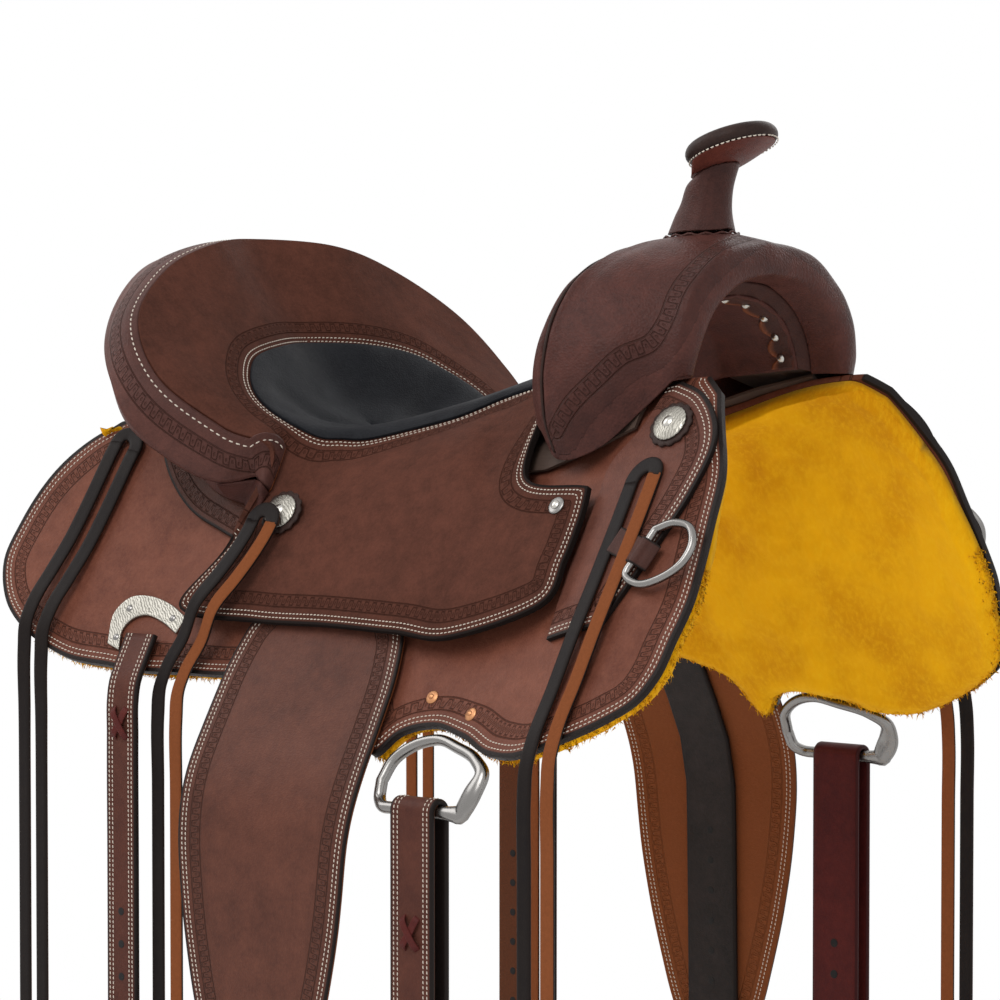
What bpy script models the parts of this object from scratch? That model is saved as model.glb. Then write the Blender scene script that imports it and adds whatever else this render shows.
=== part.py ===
"""A western trail saddle, built piece by piece at its real size.

Units are metres. X points to the horse's head, Y to its left side and Z up. The origin is on
the middle plane, where the saddle sits over the horse's back. Most of the leather lies on one
surface, the side of the horse's back, and each layer is that surface moved outwards by the
thickness of the layers under it.
"""

import math

import bmesh
import bpy
import numpy as np
from mathutils import Matrix, Vector

# Leather, wood and clearances
GAP = 0.0006
SKIRT_THICK = 0.0055
FLEECE_THICK = 0.016
SEAT_THICK = 0.0045
FRONT_JOCKEY_THICK = 0.004
REAR_JOCKEY_THICK = 0.004
SWELL_THICK = 0.003
FENDER_THICK = 0.0035
STIRRUP_LEATHER_THICK = 0.004
BILLET_THICK = 0.0045
CANTLE_BOARD_THICK = 0.014
CANTLE_BACK_THICK = 0.003
THONG_WIDTH = 0.0120
THONG_THICK = 0.003

# The side of the horse's back: the turn of its section at stations along the body
SIDE_STATIONS = (-0.380, -0.290, -0.160, -0.050, 0.060, 0.150, 0.240, 0.320)
RIDGE_HEIGHT = (0.074, 0.060, 0.012, 0.004, 0.018, 0.050, 0.108, 0.158)
TOP_SLOPE = (0, 0, 0, 0, 0, 6, 16, 36)
LOW_SLOPE = (64, 62.5, 61, 60.5, 60, 59.5, 60, 61)
TURN_START = (0.046, 0.042, 0.064, 0.062, 0.054, 0.034, 0.016, 0.0)
TURN_LENGTH = (0.150, 0.140, 0.105, 0.100, 0.105, 0.120, 0.150, 0.215)

# How far the underside of each upper layer stands off that surface
STRAP_OFF = SKIRT_THICK + 0.0017
JOCKEY_STATIONS = (-0.150, -0.090, 0.120, 0.225)
JOCKEY_OFF = (0.0165, 0.0200, 0.0200, 0.0150)
FRONT_JOCKEY_OFF = SKIRT_THICK + GAP
REAR_JOCKEY_OFF = SKIRT_THICK + 0.0012

# Where the stirrup leathers hang and how they fall
HANG_X = 0.004
HANG_S = 0.148
PIVOT_Q = 0.022
HANG_SLOPE = 60.3
FALL_SLOPE = 89.0
FALL_START = 0.190
FALL_END = 0.285
STRAP_WIDTH = 0.050
BOLT_Q = 0.600

# Horn
HORN_CAP_TILT = 20
HORN_NECK_WALL = 0.003

# Metal
RING_WIRE = 0.0045
DEE_WIRE = 0.0030
CONCHO_RADIUS = 0.0140
ROSETTE_RADIUS = 0.0185
BOLT_RADIUS = 0.0048

LEATHER_DARK = ((0.075, 0.033, 0.026), 0.45, 0.0)
LEATHER_WARM = ((0.140, 0.052, 0.030), 0.5, 0.0)
LEATHER_BLACK = ((0.012, 0.012, 0.013), 0.45, 0.0)
LEATHER_OXBLOOD = ((0.085, 0.014, 0.014), 0.4, 0.0)
THONG = ((0.020, 0.017, 0.017), 0.6, 0.0)
FLEECE = ((0.780, 0.380, 0.018), 0.95, 0.0)
WOOD = ((0.420, 0.270, 0.140), 0.7, 0.0)
STEEL = ((0.620, 0.610, 0.600), 0.3, 1.0)
SILVER = ((0.780, 0.760, 0.720), 0.25, 1.0)
RUBBER = ((0.020, 0.020, 0.020), 0.8, 0.0)

HANDS = (("left", 1), ("right", -1))


def clear_scene():
    """Remove every object, so that the file holds only the saddle."""
    for item in list(bpy.data.objects):
        bpy.data.objects.remove(item)


def make_collection(name):
    group = bpy.data.collections.new(name)
    bpy.context.scene.collection.children.link(group)
    return group


clear_scene()
SADDLE = make_collection("trail_saddle")
CUTTERS = make_collection("cutters")


def material(name, finish):
    colour, roughness, metallic = finish
    made = bpy.data.materials.new(name)
    made.use_nodes = True
    shader = made.node_tree.nodes["Principled BSDF"]
    shader.inputs["Base Color"].default_value = (*colour, 1)
    shader.inputs["Roughness"].default_value = roughness
    shader.inputs["Metallic"].default_value = metallic
    return made


def through(stations, values, at):
    """A smooth curve through the values at the stations, with no overshoot between them."""
    x = np.asarray(stations, float)
    y = np.asarray(values, float)
    at = np.clip(np.asarray(at, float), x[0], x[-1])
    step = np.diff(x)
    rise = np.diff(y, axis=0) / step.reshape(-1, *[1] * (y.ndim - 1))
    slope = np.zeros_like(y)
    slope[0], slope[-1] = rise[0], rise[-1]
    before, after = rise[:-1], rise[1:]
    same = before * after > 0
    w1 = (2 * step[1:] + step[:-1]).reshape(-1, *[1] * (y.ndim - 1))
    w2 = (step[1:] + 2 * step[:-1]).reshape(-1, *[1] * (y.ndim - 1))
    safe_before = np.where(same, before, 1.0)
    safe_after = np.where(same, after, 1.0)
    slope[1:-1] = np.where(same, (w1 + w2) / (w1 / safe_before + w2 / safe_after), 0.0)
    k = np.clip(np.searchsorted(x, at, side="right") - 1, 0, len(x) - 2)
    shape = at.shape + (1,) * (y.ndim - 1)
    t = ((at - x[k]) / step[k]).reshape(shape)
    h = step[k].reshape(shape)
    return (
        (1 + 2 * t) * (1 - t) ** 2 * y[k]
        + t * (1 - t) ** 2 * h * slope[k]
        + t * t * (3 - 2 * t) * y[k + 1]
        + t * t * (t - 1) * h * slope[k + 1]
    )


def flowing(points, at):
    """A smooth curve through points, which may turn back; at runs from 0 to 1 along it."""
    p = np.asarray(points, float)
    length = np.concatenate([[0], np.cumsum(np.linalg.norm(np.diff(p, axis=0), axis=1))])
    tangent = np.gradient(p, length, axis=0)
    at = np.asarray(at, float) * length[-1]
    k = np.clip(np.searchsorted(length, at, side="right") - 1, 0, len(p) - 2)
    h = (length[k + 1] - length[k])[..., None]
    t = (at - length[k])[..., None] / h
    return (
        (1 + 2 * t) * (1 - t) ** 2 * p[k]
        + t * (1 - t) ** 2 * h * tangent[k]
        + t * t * (3 - 2 * t) * p[k + 1]
        + t * t * (t - 1) * h * tangent[k + 1]
    )


def ease(t):
    t = np.clip(t, 0, 1)
    return t * t * (3 - 2 * t)


def side(x, s, off=0.0):
    """A point on the left side: s metres down from the ridge, off metres out from the surface."""
    x, s, off = np.broadcast_arrays(*(np.asarray(v, float) for v in (x, s, off)))
    top = np.radians(through(SIDE_STATIONS, TOP_SLOPE, x))[..., None]
    low = np.radians(through(SIDE_STATIONS, LOW_SLOPE, x))[..., None]
    start = through(SIDE_STATIONS, TURN_START, x)[..., None]
    turn = through(SIDE_STATIONS, TURN_LENGTH, x)[..., None]
    share = np.linspace(0, 1, 33)
    slope = top + (low - top) * ease((s[..., None] * share - start) / turn)
    weight = np.full(33, 1 / 32)
    weight[[0, -1]] /= 2
    y = (np.cos(slope) * weight).sum(-1) * s
    z = through(SIDE_STATIONS, RIDGE_HEIGHT, x) - (np.sin(slope) * weight).sum(-1) * s
    return np.stack([x, y + off * np.sin(slope[..., -1]), z + off * np.cos(slope[..., -1])], -1)


def to_hand(points, hand):
    return np.asarray(points, float) * (1, hand, 1)


def add_object(name, mesh, finish):
    item = bpy.data.objects.new(name, mesh)
    SADDLE.objects.link(item)
    item.data.materials.append(material(name, finish))
    return item


def grid_mesh(name, grid, flip=False, ring=False):
    """An open surface over a grid; a ring closes its first direction."""
    rows, columns = grid.shape[:2]
    faces = []
    for i in range(rows if ring else rows - 1):
        for j in range(columns - 1):
            a, b = i * columns + j, (i + 1) % rows * columns + j
            face = (a, b, b + 1, a + 1)
            faces.append(face[::-1] if flip else face)
    mesh = bpy.data.meshes.new(name)
    mesh.from_pydata([tuple(p) for p in grid.reshape(-1, 3)], [], faces)
    mesh.shade_smooth()
    return mesh


def sheet(name, grid, thick, finish, hand=1, outward=True, ring=False):
    """A leather sheet: a surface given thickness on its outer or inner side."""
    item = add_object(name, grid_mesh(name, to_hand(grid, hand), flip=hand < 0, ring=ring), finish)
    solid = item.modifiers.new("thickness", "SOLIDIFY")
    solid.thickness = thick
    solid.offset = 1 if outward else -1
    return item


def closed_mesh(name, build):
    """A mesh made with bmesh, its faces turned outwards."""
    shape = bmesh.new()
    build(shape)
    bmesh.ops.recalc_face_normals(shape, faces=shape.faces)
    mesh = bpy.data.meshes.new(name)
    shape.to_mesh(mesh)
    shape.free()
    mesh.shade_smooth()
    return mesh


def add_loft(shape, rings, closed=False, fan=True):
    """Join rings of equal counts into a tube with flat ends, or into a closed ring."""
    made = [[shape.verts.new(p) for p in ring] for ring in rings]
    count = len(made[0])
    pairs = list(zip(made, made[1:] + made[:1])) if closed else list(zip(made, made[1:]))
    for one, two in pairs:
        for i in range(count):
            j = (i + 1) % count
            shape.faces.new((one[i], one[j], two[j], two[i]))
    if not closed:
        for ring in (made[0], made[-1]):
            if not fan:
                shape.faces.new(ring)
                continue
            middle = shape.verts.new(sum((v.co for v in ring), Vector()) / count)
            for i in range(count):
                shape.faces.new((ring[i], ring[(i + 1) % count], middle))


def loft(name, rings, finish, closed=False, fan=True):
    return add_object(name, closed_mesh(name, lambda s: add_loft(s, rings, closed, fan)), finish)


def band_rings(centre, across, width, thick):
    """Rectangular sections along a path: across is the direction of the width at each point."""
    p = np.asarray(centre, float)
    across = np.broadcast_to(np.asarray(across, float), p.shape)
    width = np.broadcast_to(np.asarray(width, float), (len(p),))
    tangent = np.gradient(p, axis=0)
    out = np.cross(across, tangent)
    out /= np.linalg.norm(out, axis=1, keepdims=True)
    half = across * (width / 2)[:, None]
    up = out * thick / 2
    return list(zip(p - half - up, p + half - up, p + half + up, p - half + up))


def add_disc(shape, centre, normal, radius, height, segments=14, top=None):
    """A round piece standing on a point of a surface."""
    top = radius if top is None else top
    turn = Vector(normal).to_track_quat("Z", "Y").to_matrix().to_4x4()
    place = Matrix.Translation(Vector(centre) + Vector(normal) * height / 2) @ turn
    bmesh.ops.create_cone(
        shape, cap_ends=True, segments=segments, radius1=radius, radius2=top, depth=height, matrix=place
    )


def disc(name, place, radius, height, finish, segments=18, top=None):
    """A round piece standing at a point with its normal."""
    centre, normal = place
    build = lambda shape: add_disc(shape, centre, normal, radius, height, segments, top)
    return add_object(name, closed_mesh(name, build), finish)


def wire(name, points, radius, finish, cyclic=True):
    """A round bar bent along points."""
    curve = bpy.data.curves.new(name, "CURVE")
    curve.dimensions = "3D"
    curve.bevel_depth = radius
    curve.bevel_resolution = 2
    curve.use_fill_caps = not cyclic
    spline = curve.splines.new("POLY")
    spline.points.add(len(points) - 1)
    for point, place in zip(spline.points, points):
        point.co = (*place, 1)
    spline.use_cyclic_u = cyclic
    item = bpy.data.objects.new(name, curve)
    SADDLE.objects.link(item)
    item.data.materials.append(material(name, finish))
    return item


def panel(top_edge, low_edge, off, columns, rows):
    """A grid over the side between two edges, each a list of (x, s) places."""
    along = np.linspace(0, 1, columns)
    top, low = flowing(top_edge, along), flowing(low_edge, along)
    down = np.linspace(0, 1, rows)[None, :, None]
    places = top[:, None] * (1 - down) + low[:, None] * down
    return side(places[..., 0], places[..., 1], off)


# Skirts and fleece
SKIRT_TOP = (
    (-0.232, 0.028), (-0.120, 0.030), (0.000, 0.034), (0.110, 0.050), (0.190, 0.076),
    (0.245, 0.095), (0.283, 0.108),
)
SKIRT_LOW = (
    (-0.262, 0.076), (-0.283, 0.125), (-0.305, 0.152), (-0.329, 0.191), (-0.342, 0.234),
    (-0.345, 0.269), (-0.328, 0.299), (-0.298, 0.316), (-0.255, 0.320), (-0.203, 0.306),
    (-0.114, 0.289), (0.018, 0.287), (0.062, 0.312), (0.090, 0.350), (0.104, 0.335),
    (0.133, 0.331), (0.165, 0.346), (0.201, 0.376), (0.227, 0.390), (0.268, 0.392),
    (0.297, 0.386), (0.319, 0.375), (0.329, 0.356), (0.333, 0.329), (0.337, 0.299),
    (0.336, 0.276), (0.332, 0.237), (0.327, 0.198), (0.318, 0.175), (0.299, 0.127),
)
SKIRT_COLUMNS = 36
SKIRT_ROWS = 6


def make_skirts():
    for word, hand in HANDS:
        grid = panel(SKIRT_TOP, SKIRT_LOW, 0.0, SKIRT_COLUMNS, SKIRT_ROWS)
        sheet(f"skirt_{word}", grid, SKIRT_THICK, LEATHER_WARM, hand)
        under = panel(SKIRT_TOP, SKIRT_LOW, -GAP, SKIRT_COLUMNS, SKIRT_ROWS)
        sheet(f"fleece_{word}", under, FLEECE_THICK, FLEECE, hand, outward=False)


# Tree bars: inner end, outer end and lower edge at stations
BAR_STATIONS = (-0.212, -0.130, -0.060, 0.060, 0.150, 0.236)
BAR_TOP_S = (0.052, 0.044, 0.042, 0.044, 0.056, 0.090)
BAR_LOW_S = (0.094, 0.100, 0.122, 0.124, 0.130, 0.136)
BAR_RISE = (0.0040, 0.0042, 0.0042, 0.0040, 0.0042, 0.0040)
BAR_EDGE = 0.0025


def bar_ring(x, points=6):
    share = np.linspace(0, 1, points)
    s = through(BAR_STATIONS, BAR_TOP_S, x) * (1 - share) + through(BAR_STATIONS, BAR_LOW_S, x) * share
    under = SKIRT_THICK + 4 * GAP
    rise = through(BAR_STATIONS, BAR_RISE, x)
    outer = under + BAR_EDGE + (rise - BAR_EDGE) * np.sin(np.pi * share) ** 0.6
    full = np.full(points, x)
    return np.vstack([side(full, s, under), side(full, s, outer)[::-1]])


def make_bars():
    for word, hand in HANDS:
        rings = [to_hand(bar_ring(x), hand) for x in np.linspace(BAR_STATIONS[0], BAR_STATIONS[-1], 12)]
        loft(f"tree_bar_{word}", rings, WOOD)


# Seat leather: each column runs from the middle line out to the rim or the jockey's edge
def jockey(x, s):
    off = through(JOCKEY_STATIONS, JOCKEY_OFF, x) + SEAT_THICK
    return tuple(side(x, s, off))


RIM = (
    (-0.262, 0.000, 0.186), (-0.238, 0.069, 0.181), (-0.228, 0.131, 0.161), (-0.204, 0.186, 0.123),
    (-0.164, 0.203, 0.077), (-0.117, 0.182, 0.040), (-0.088, 0.157, 0.018),
)
SEAT_COLUMNS = (
    ((-0.135, 0, 0.026), (-0.165, 0, 0.052), (-0.200, 0, 0.101), (-0.236, 0, 0.148), RIM[0]),
    ((-0.132, 0, 0.026), (-0.160, 0.030, 0.052), (-0.183, 0.050, 0.099), (-0.214, 0.060, 0.143), RIM[1]),
    ((-0.128, 0, 0.026), (-0.148, 0.050, 0.046), (-0.171, 0.092, 0.091), (-0.203, 0.113, 0.130), RIM[2]),
    ((-0.120, 0, 0.026), (-0.138, 0.062, 0.036), (-0.154, 0.116, 0.076), (-0.182, 0.153, 0.102), RIM[3]),
    ((-0.110, 0, 0.027), (-0.120, 0.070, 0.034), (-0.136, 0.128, 0.062), (-0.152, 0.168, 0.074), RIM[4]),
    ((-0.100, 0, 0.027), (-0.108, 0.075, 0.030), (-0.119, 0.129, 0.050), (-0.121, 0.158, 0.050), RIM[5]),
    ((-0.086, 0, 0.028), (-0.090, 0.070, 0.028), (-0.098, 0.123, 0.038), (-0.096, 0.142, 0.031), RIM[6]),
    (
        (-0.070, 0, 0.031), (-0.072, 0.065, 0.030), (-0.077, 0.118, 0.030),
        jockey(-0.092, 0.148), jockey(-0.118, 0.190),
    ),
    (
        (-0.055, 0, 0.034), (-0.056, 0.060, 0.032), (-0.062, 0.110, 0.029),
        jockey(-0.085, 0.165), jockey(-0.143, 0.246),
    ),
    (
        (-0.035, 0, 0.040), (-0.036, 0.058, 0.038), (-0.042, 0.102, 0.029),
        jockey(-0.050, 0.158), jockey(-0.064, 0.246),
    ),
    (
        (0.000, 0, 0.050), (0.000, 0.050, 0.047), (-0.008, 0.088, 0.037),
        jockey(0.004, 0.145), jockey(0.008, 0.249),
    ),
    (
        (0.030, 0, 0.060), (0.032, 0.044, 0.056), (0.026, 0.076, 0.046),
        jockey(0.045, 0.132), jockey(0.082, 0.261),
    ),
    (
        (0.055, 0, 0.068), (0.058, 0.038, 0.065), (0.055, 0.064, 0.056),
        jockey(0.085, 0.132), jockey(0.135, 0.270),
    ),
    (
        (0.078, 0, 0.076), (0.083, 0.036, 0.072), (0.088, 0.074, 0.058),
        jockey(0.122, 0.153), jockey(0.214, 0.272),
    ),
    (
        (0.095, 0, 0.084), (0.102, 0.034, 0.080), (0.107, 0.077, 0.060),
        jockey(0.138, 0.150), jockey(0.2225, 0.240),
    ),
    (
        (0.109, 0, 0.094), (0.114, 0.035, 0.090), (0.116, 0.079, 0.065),
        jockey(0.145, 0.147), jockey(0.2235, 0.212),
    ),
    (
        (0.127, 0, 0.110), (0.127, 0.040, 0.101), (0.124, 0.083, 0.069),
        jockey(0.149, 0.1445), jockey(0.222, 0.194),
    ),
    (
        (0.1465, 0, 0.129), (0.1425, 0.044, 0.113), (0.1345, 0.085, 0.077),
        jockey(0.150, 0.1405), jockey(0.2195, 0.180),
    ),
)
SEAT_ALONG = 35
SEAT_ACROSS = 11


def seat_point(t, r):
    """A point of the seat's upper face: t from the rear middle to the front, r from the middle out."""
    columns = np.asarray(SEAT_COLUMNS, float)
    t, r = np.broadcast_arrays(np.asarray(t, float), np.asarray(r, float))
    rows = [flowing_even(columns[:, j], t, from_middle=True) for j in range(columns.shape[1])]
    return blend_even(rows, r)


def flowing_even(points, at, from_middle=False):
    """Catmull-Rom through points at even steps, at from 0 to 1; from_middle starts it square to the middle plane."""
    p = np.asarray(points, float)
    tangent = np.gradient(p, axis=0)
    if from_middle:
        tangent[0] *= (0, 1, 0)
    place = np.clip(np.asarray(at, float), 0, 1) * (len(p) - 1)
    k = np.clip(place.astype(int), 0, len(p) - 2)
    t = (place - k)[..., None]
    return (
        (1 + 2 * t) * (1 - t) ** 2 * p[k]
        + t * (1 - t) ** 2 * tangent[k]
        + t * t * (3 - 2 * t) * p[k + 1]
        + t * t * (t - 1) * tangent[k + 1]
    )


def blend_even(rows, at):
    """Catmull-Rom between rows of points that are given for each place already."""
    stack = np.stack(rows)
    tangent = np.gradient(stack, axis=0)
    place = np.clip(at, 0, 1) * (len(rows) - 1)
    k = np.clip(place.astype(int), 0, len(rows) - 2)
    t = (place - k)[..., None]

    def pick(values, n):
        return np.take_along_axis(values, n[None, ..., None], axis=0)[0]

    return (
        (1 + 2 * t) * (1 - t) ** 2 * pick(stack, k)
        + t * (1 - t) ** 2 * pick(tangent, k)
        + t * t * (3 - 2 * t) * pick(stack, k + 1)
        + t * t * (t - 1) * pick(tangent, k + 1)
    )


def column_at(number):
    """The place along the seat of a numbered column."""
    return number / (len(SEAT_COLUMNS) - 1)


def seat_grid(t, r, off=0.0):
    """A grid of the seat's upper face, moved off along its normals."""
    tt, rr = np.meshgrid(t, r, indexing="ij")
    return seat_at(tt, rr, off)


def seat_at(tt, rr, off):
    """Points of the seat's upper face, moved off along its normals."""
    step = 1e-3
    grid = seat_point(tt, rr)
    if not np.any(off):
        return grid
    du = seat_point(np.clip(tt + step, 0, 1), rr) - seat_point(np.clip(tt - step, 0, 1), rr)
    dv = seat_point(tt, np.clip(rr + step, 0, 1)) - seat_point(tt, np.clip(rr - step, 0, 1))
    n = np.cross(du, dv)
    n[np.isclose(grid[..., 1], 0), 1] = 0
    n /= np.maximum(np.linalg.norm(n, axis=-1, keepdims=True), 1e-12)
    return grid + n * np.asarray(off)[..., None]


def mirrored(item):
    """Give a half that is open at the middle plane its other half."""
    mirror = item.modifiers.new("other_half", "MIRROR")
    mirror.use_axis = (False, True, False)
    mirror.use_clip = True
    mirror.merge_threshold = 0.0001
    item.modifiers.move(len(item.modifiers) - 1, 0)
    return item


def make_seat():
    t, r = np.linspace(0, 1, SEAT_ALONG), np.linspace(0, 1, SEAT_ACROSS)
    mirrored(sheet("seat_leather", seat_grid(t, r), SEAT_THICK, LEATHER_DARK, outward=False))



def slab(name, low, high, finish, walls):
    """A piece between two like grids, with walls on the named borders; others meet the mirror."""
    rows, columns = low.shape[:2]

    def build(shape):
        one = [[shape.verts.new(p) for p in row] for row in low]
        two = [[shape.verts.new(p) for p in row] for row in high]
        for i in range(rows - 1):
            for j in range(columns - 1):
                for layer in (one, two):
                    shape.faces.new((layer[i][j], layer[i + 1][j], layer[i + 1][j + 1], layer[i][j + 1]))
        edges = []
        if "outer" in walls:
            edges += [((i, columns - 1), (i + 1, columns - 1)) for i in range(rows - 1)]
        if "start" in walls:
            edges += [((0, j), (0, j + 1)) for j in range(columns - 1)]
        if "end" in walls:
            edges += [((rows - 1, j), (rows - 1, j + 1)) for j in range(columns - 1)]
        for (a, b), (c, d) in edges:
            shape.faces.new((one[a][b], one[c][d], two[c][d], two[a][b]))
    return add_object(name, closed_mesh(name, build), finish)


# The padded inlay of the seat
PAD_GAP = 0.0008
PAD_EDGE = 0.0022
PAD_CROWN = 0.0065
PAD_LAST = column_at(14.0)
PAD_NARROW = column_at(10.5)


def make_pad():
    t = np.append(np.arange(0, 1, 1 / (SEAT_ALONG - 1)), 1)
    t = np.append(t[t < PAD_LAST - 0.004], PAD_LAST)
    narrow = np.clip((t - PAD_NARROW) / (PAD_LAST - PAD_NARROW), 0, 0.9985)
    width = 0.5 * np.sqrt(1 - narrow ** 2)
    share = np.array([0, 0.2, 0.4, 0.6, 0.8, 0.94, 1])
    tt = np.repeat(t[:, None], len(share), 1)
    rr = width[:, None] * share[None]
    crown = PAD_GAP + PAD_EDGE + PAD_CROWN * (1 - share[None] ** 2) * ease(width[:, None] / 0.3)
    low = seat_at(tt, rr, np.full(tt.shape, PAD_GAP))
    high = seat_at(tt, rr, crown)
    mirrored(slab("seat_pad", low, high, LEATHER_BLACK, ("outer", "end")))


GROUND_END = column_at(13)
GROUND_WIDE = 0.13
GROUND_THICK = 0.0045


def make_tree():
    below = -(SEAT_THICK + GAP)
    t, r = np.linspace(column_at(2), GROUND_END, 23), np.linspace(0, GROUND_WIDE, 3)
    mirrored(sheet("ground_seat", seat_grid(t, r, below - GAP), GROUND_THICK, WOOD, outward=False))
    t, r = np.linspace(0, column_at(4.5), 10), np.linspace(0.6, 0.9, 4)
    mirrored(sheet("cantle_board", seat_grid(t, r, below), CANTLE_BOARD_THICK, WOOD, outward=False))


# The leather behind the cantle: from under the roll to the rear jockeys
BACK_END = column_at(5)
BACK_FOOT = (
    (-0.246, 0.004), (-0.240, 0.060), (-0.216, 0.112), (-0.180, 0.140), (-0.148, 0.150), (-0.126, 0.152),
)
BACK_ROWS = ((0.955, 0.0), (0.80, 0.0012), (0.62, 0.003))


def make_cantle_back():
    t = np.linspace(0, BACK_END, 14)
    deep = SEAT_THICK + CANTLE_BOARD_THICK + CANTLE_BACK_THICK
    rows = [seat_grid(t, [r], -(deep + more))[:, 0] for r, more in BACK_ROWS]
    foot = flowing(BACK_FOOT, t / BACK_END)
    low = side(foot[:, 0], foot[:, 1], REAR_JOCKEY_OFF + REAR_JOCKEY_THICK + CANTLE_BACK_THICK)
    low[0, 1] = 0
    grid = blend_rows(rows + [low], np.linspace(0, 1, 8))
    mirrored(sheet("cantle_back", grid[:, ::-1], CANTLE_BACK_THICK, LEATHER_DARK, outward=False))


def blend_rows(rows, at):
    """A grid through rows of points of equal counts."""
    stack = np.stack(rows, axis=1)
    return np.stack([flowing_even(column, at) for column in stack])


ROLL_EDGE = (
    (-0.302, 0.000, 0.170), (-0.292, 0.085, 0.166), (-0.270, 0.138, 0.146), (-0.248, 0.178, 0.118),
    (-0.222, 0.207, 0.092), (-0.198, 0.223, 0.070), (-0.180, 0.226, 0.045), (-0.160, 0.208, 0.018),
    (-0.122, 0.175, -0.005), (-0.105, 0.160, 0.000),
)
ROLL_SECTION = (
    (0.00, 0.0000), (0.25, 0.0030), (0.55, 0.0036), (0.82, 0.0016), (0.97, -0.0012),
    (1.00, -0.0050), (0.90, -0.0088), (0.60, -0.0088), (0.28, -0.0072),
)
ROLL_END = column_at(5.4)
ROLL_GAP = 0.0016


def make_roll():
    """The flange sewn round the top of the cantle, from one front tip over the back to the other."""
    t = np.append(np.arange(0, ROLL_END, 0.5 / (SEAT_ALONG - 1)), ROLL_END)
    share = t / ROLL_END
    inner, outer = seat_point(t, np.ones(len(t))), flowing(ROLL_EDGE, share)
    tangent = np.gradient(inner + outer, axis=0)
    tangent[0] = (0, 1, 0)
    width = outer - inner
    up = np.cross(width, tangent)
    up /= np.linalg.norm(up, axis=1, keepdims=True)
    up[0] *= np.sign(up[0, 2])
    for k in range(1, len(up)):
        up[k] *= np.sign(up[k] @ up[k - 1])
    reach = np.linalg.norm(width, axis=1)
    shift = width * (ROLL_GAP / reach)[:, None]
    inner = inner + shift
    under = seat_at(t, np.ones(len(t)), np.full(len(t), -0.8 * SEAT_THICK)) + shift
    half = []
    for k in range(len(t)):
        thin = min(1.0, 0.45 + reach[k] / 0.05)
        ring = [inner[k] + (outer[k] - inner[k]) * w + up[k] * h * thin for w, h in ROLL_SECTION]
        half.append(ring + [under[k]])
    left = [np.asarray(ring) for ring in half]
    rings = [ring * (1, -1, 1) for ring in left[:0:-1]] + left
    loft("cheyenne_roll", rings, LEATHER_DARK)


# Rear jockeys: the panels on the skirts behind and beside the cantle
REAR_INNER = (
    (-0.222, 0.030), (-0.219, 0.078), (-0.206, 0.108), (-0.176, 0.122), (-0.146, 0.130),
    (-0.110, 0.130), (-0.078, 0.138),
)
REAR_OUTER = (
    (-0.266, 0.030), (-0.258, 0.090), (-0.228, 0.138), (-0.188, 0.163), (-0.149, 0.174),
    (-0.110, 0.181), (-0.084, 0.178),
)


def make_rear_jockeys():
    for word, hand in HANDS:
        grid = panel(REAR_INNER, REAR_OUTER, REAR_JOCKEY_OFF, 20, 4)
        sheet(f"rear_jockey_{word}", grid, REAR_JOCKEY_THICK, LEATHER_DARK, hand)


# Front jockeys: the leaves below the swell, each with a keeper slot
LEAF_JOINT = (
    (0.252, 0.106), (0.242, 0.142), (0.226, 0.158), (0.2245, 0.190), (0.222, 0.240), (0.225, 0.300),
)
LEAF_FRONT = (
    (0.262, 0.108), (0.290, 0.130), (0.315, 0.178), (0.310, 0.214), (0.296, 0.252), (0.272, 0.306),
)


def make_front_jockeys():
    for word, hand in HANDS:
        grid = panel(LEAF_JOINT, LEAF_FRONT, FRONT_JOCKEY_OFF, 18, 5)
        sheet(f"front_jockey_{word}", grid[::-1], FRONT_JOCKEY_THICK, LEATHER_DARK, hand)


# Swell: rows of its cover from the seat over the top and round the front lip, each from foot to top
SWELL_ROWS = (
    (
        (0.1335, 0.112, 0.047), (0.137, 0.101, 0.062), (0.140, 0.084, 0.081),
        (0.144, 0.062, 0.102), (0.148, 0.034, 0.121), (0.150, 0, 0.130),
    ),
    (
        (0.149, 0.124, 0.040), (0.154, 0.139, 0.069), (0.161, 0.139, 0.108),
        (0.167, 0.113, 0.144), (0.169, 0.059, 0.167), (0.169, 0, 0.175),
    ),
    (
        (0.180, 0.139, 0.020), (0.183, 0.148, 0.060), (0.186, 0.140, 0.109),
        (0.190, 0.110, 0.152), (0.192, 0.054, 0.176), (0.192, 0, 0.184),
    ),
    (
        (0.214, 0.134, 0.030), (0.216, 0.136, 0.070), (0.218, 0.126, 0.113),
        (0.220, 0.098, 0.152), (0.222, 0.049, 0.177), (0.222, 0, 0.185),
    ),
    (
        (0.240, 0.116, 0.058), (0.242, 0.115, 0.089), (0.244, 0.108, 0.118),
        (0.246, 0.088, 0.149), (0.248, 0.047, 0.172), (0.248, 0, 0.180),
    ),
    (
        (0.260, 0.107, 0.078), (0.263, 0.107, 0.096), (0.264, 0.101, 0.119),
        (0.264, 0.085, 0.143), (0.264, 0.050, 0.167), (0.264, 0, 0.175),
    ),
    (
        (0.263, 0.090, 0.080), (0.265, 0.086, 0.098), (0.266, 0.077, 0.116),
        (0.266, 0.061, 0.134), (0.266, 0.034, 0.149), (0.266, 0, 0.154),
    ),
    (
        (0.238, 0.084, 0.080), (0.238, 0.080, 0.098), (0.238, 0.072, 0.115),
        (0.238, 0.057, 0.131), (0.238, 0.031, 0.145), (0.238, 0, 0.149),
    ),
)


def swell_grid(u, v):
    """A grid of the swell cover's outer face: u from the seat to inside the gullet, v from foot to top."""
    rows = np.asarray(SWELL_ROWS, float)
    up = np.stack([flowing_even(row, v) for row in rows])
    return np.stack([flowing_even(up[:, k], u) for k in range(len(v))], axis=1)


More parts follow.
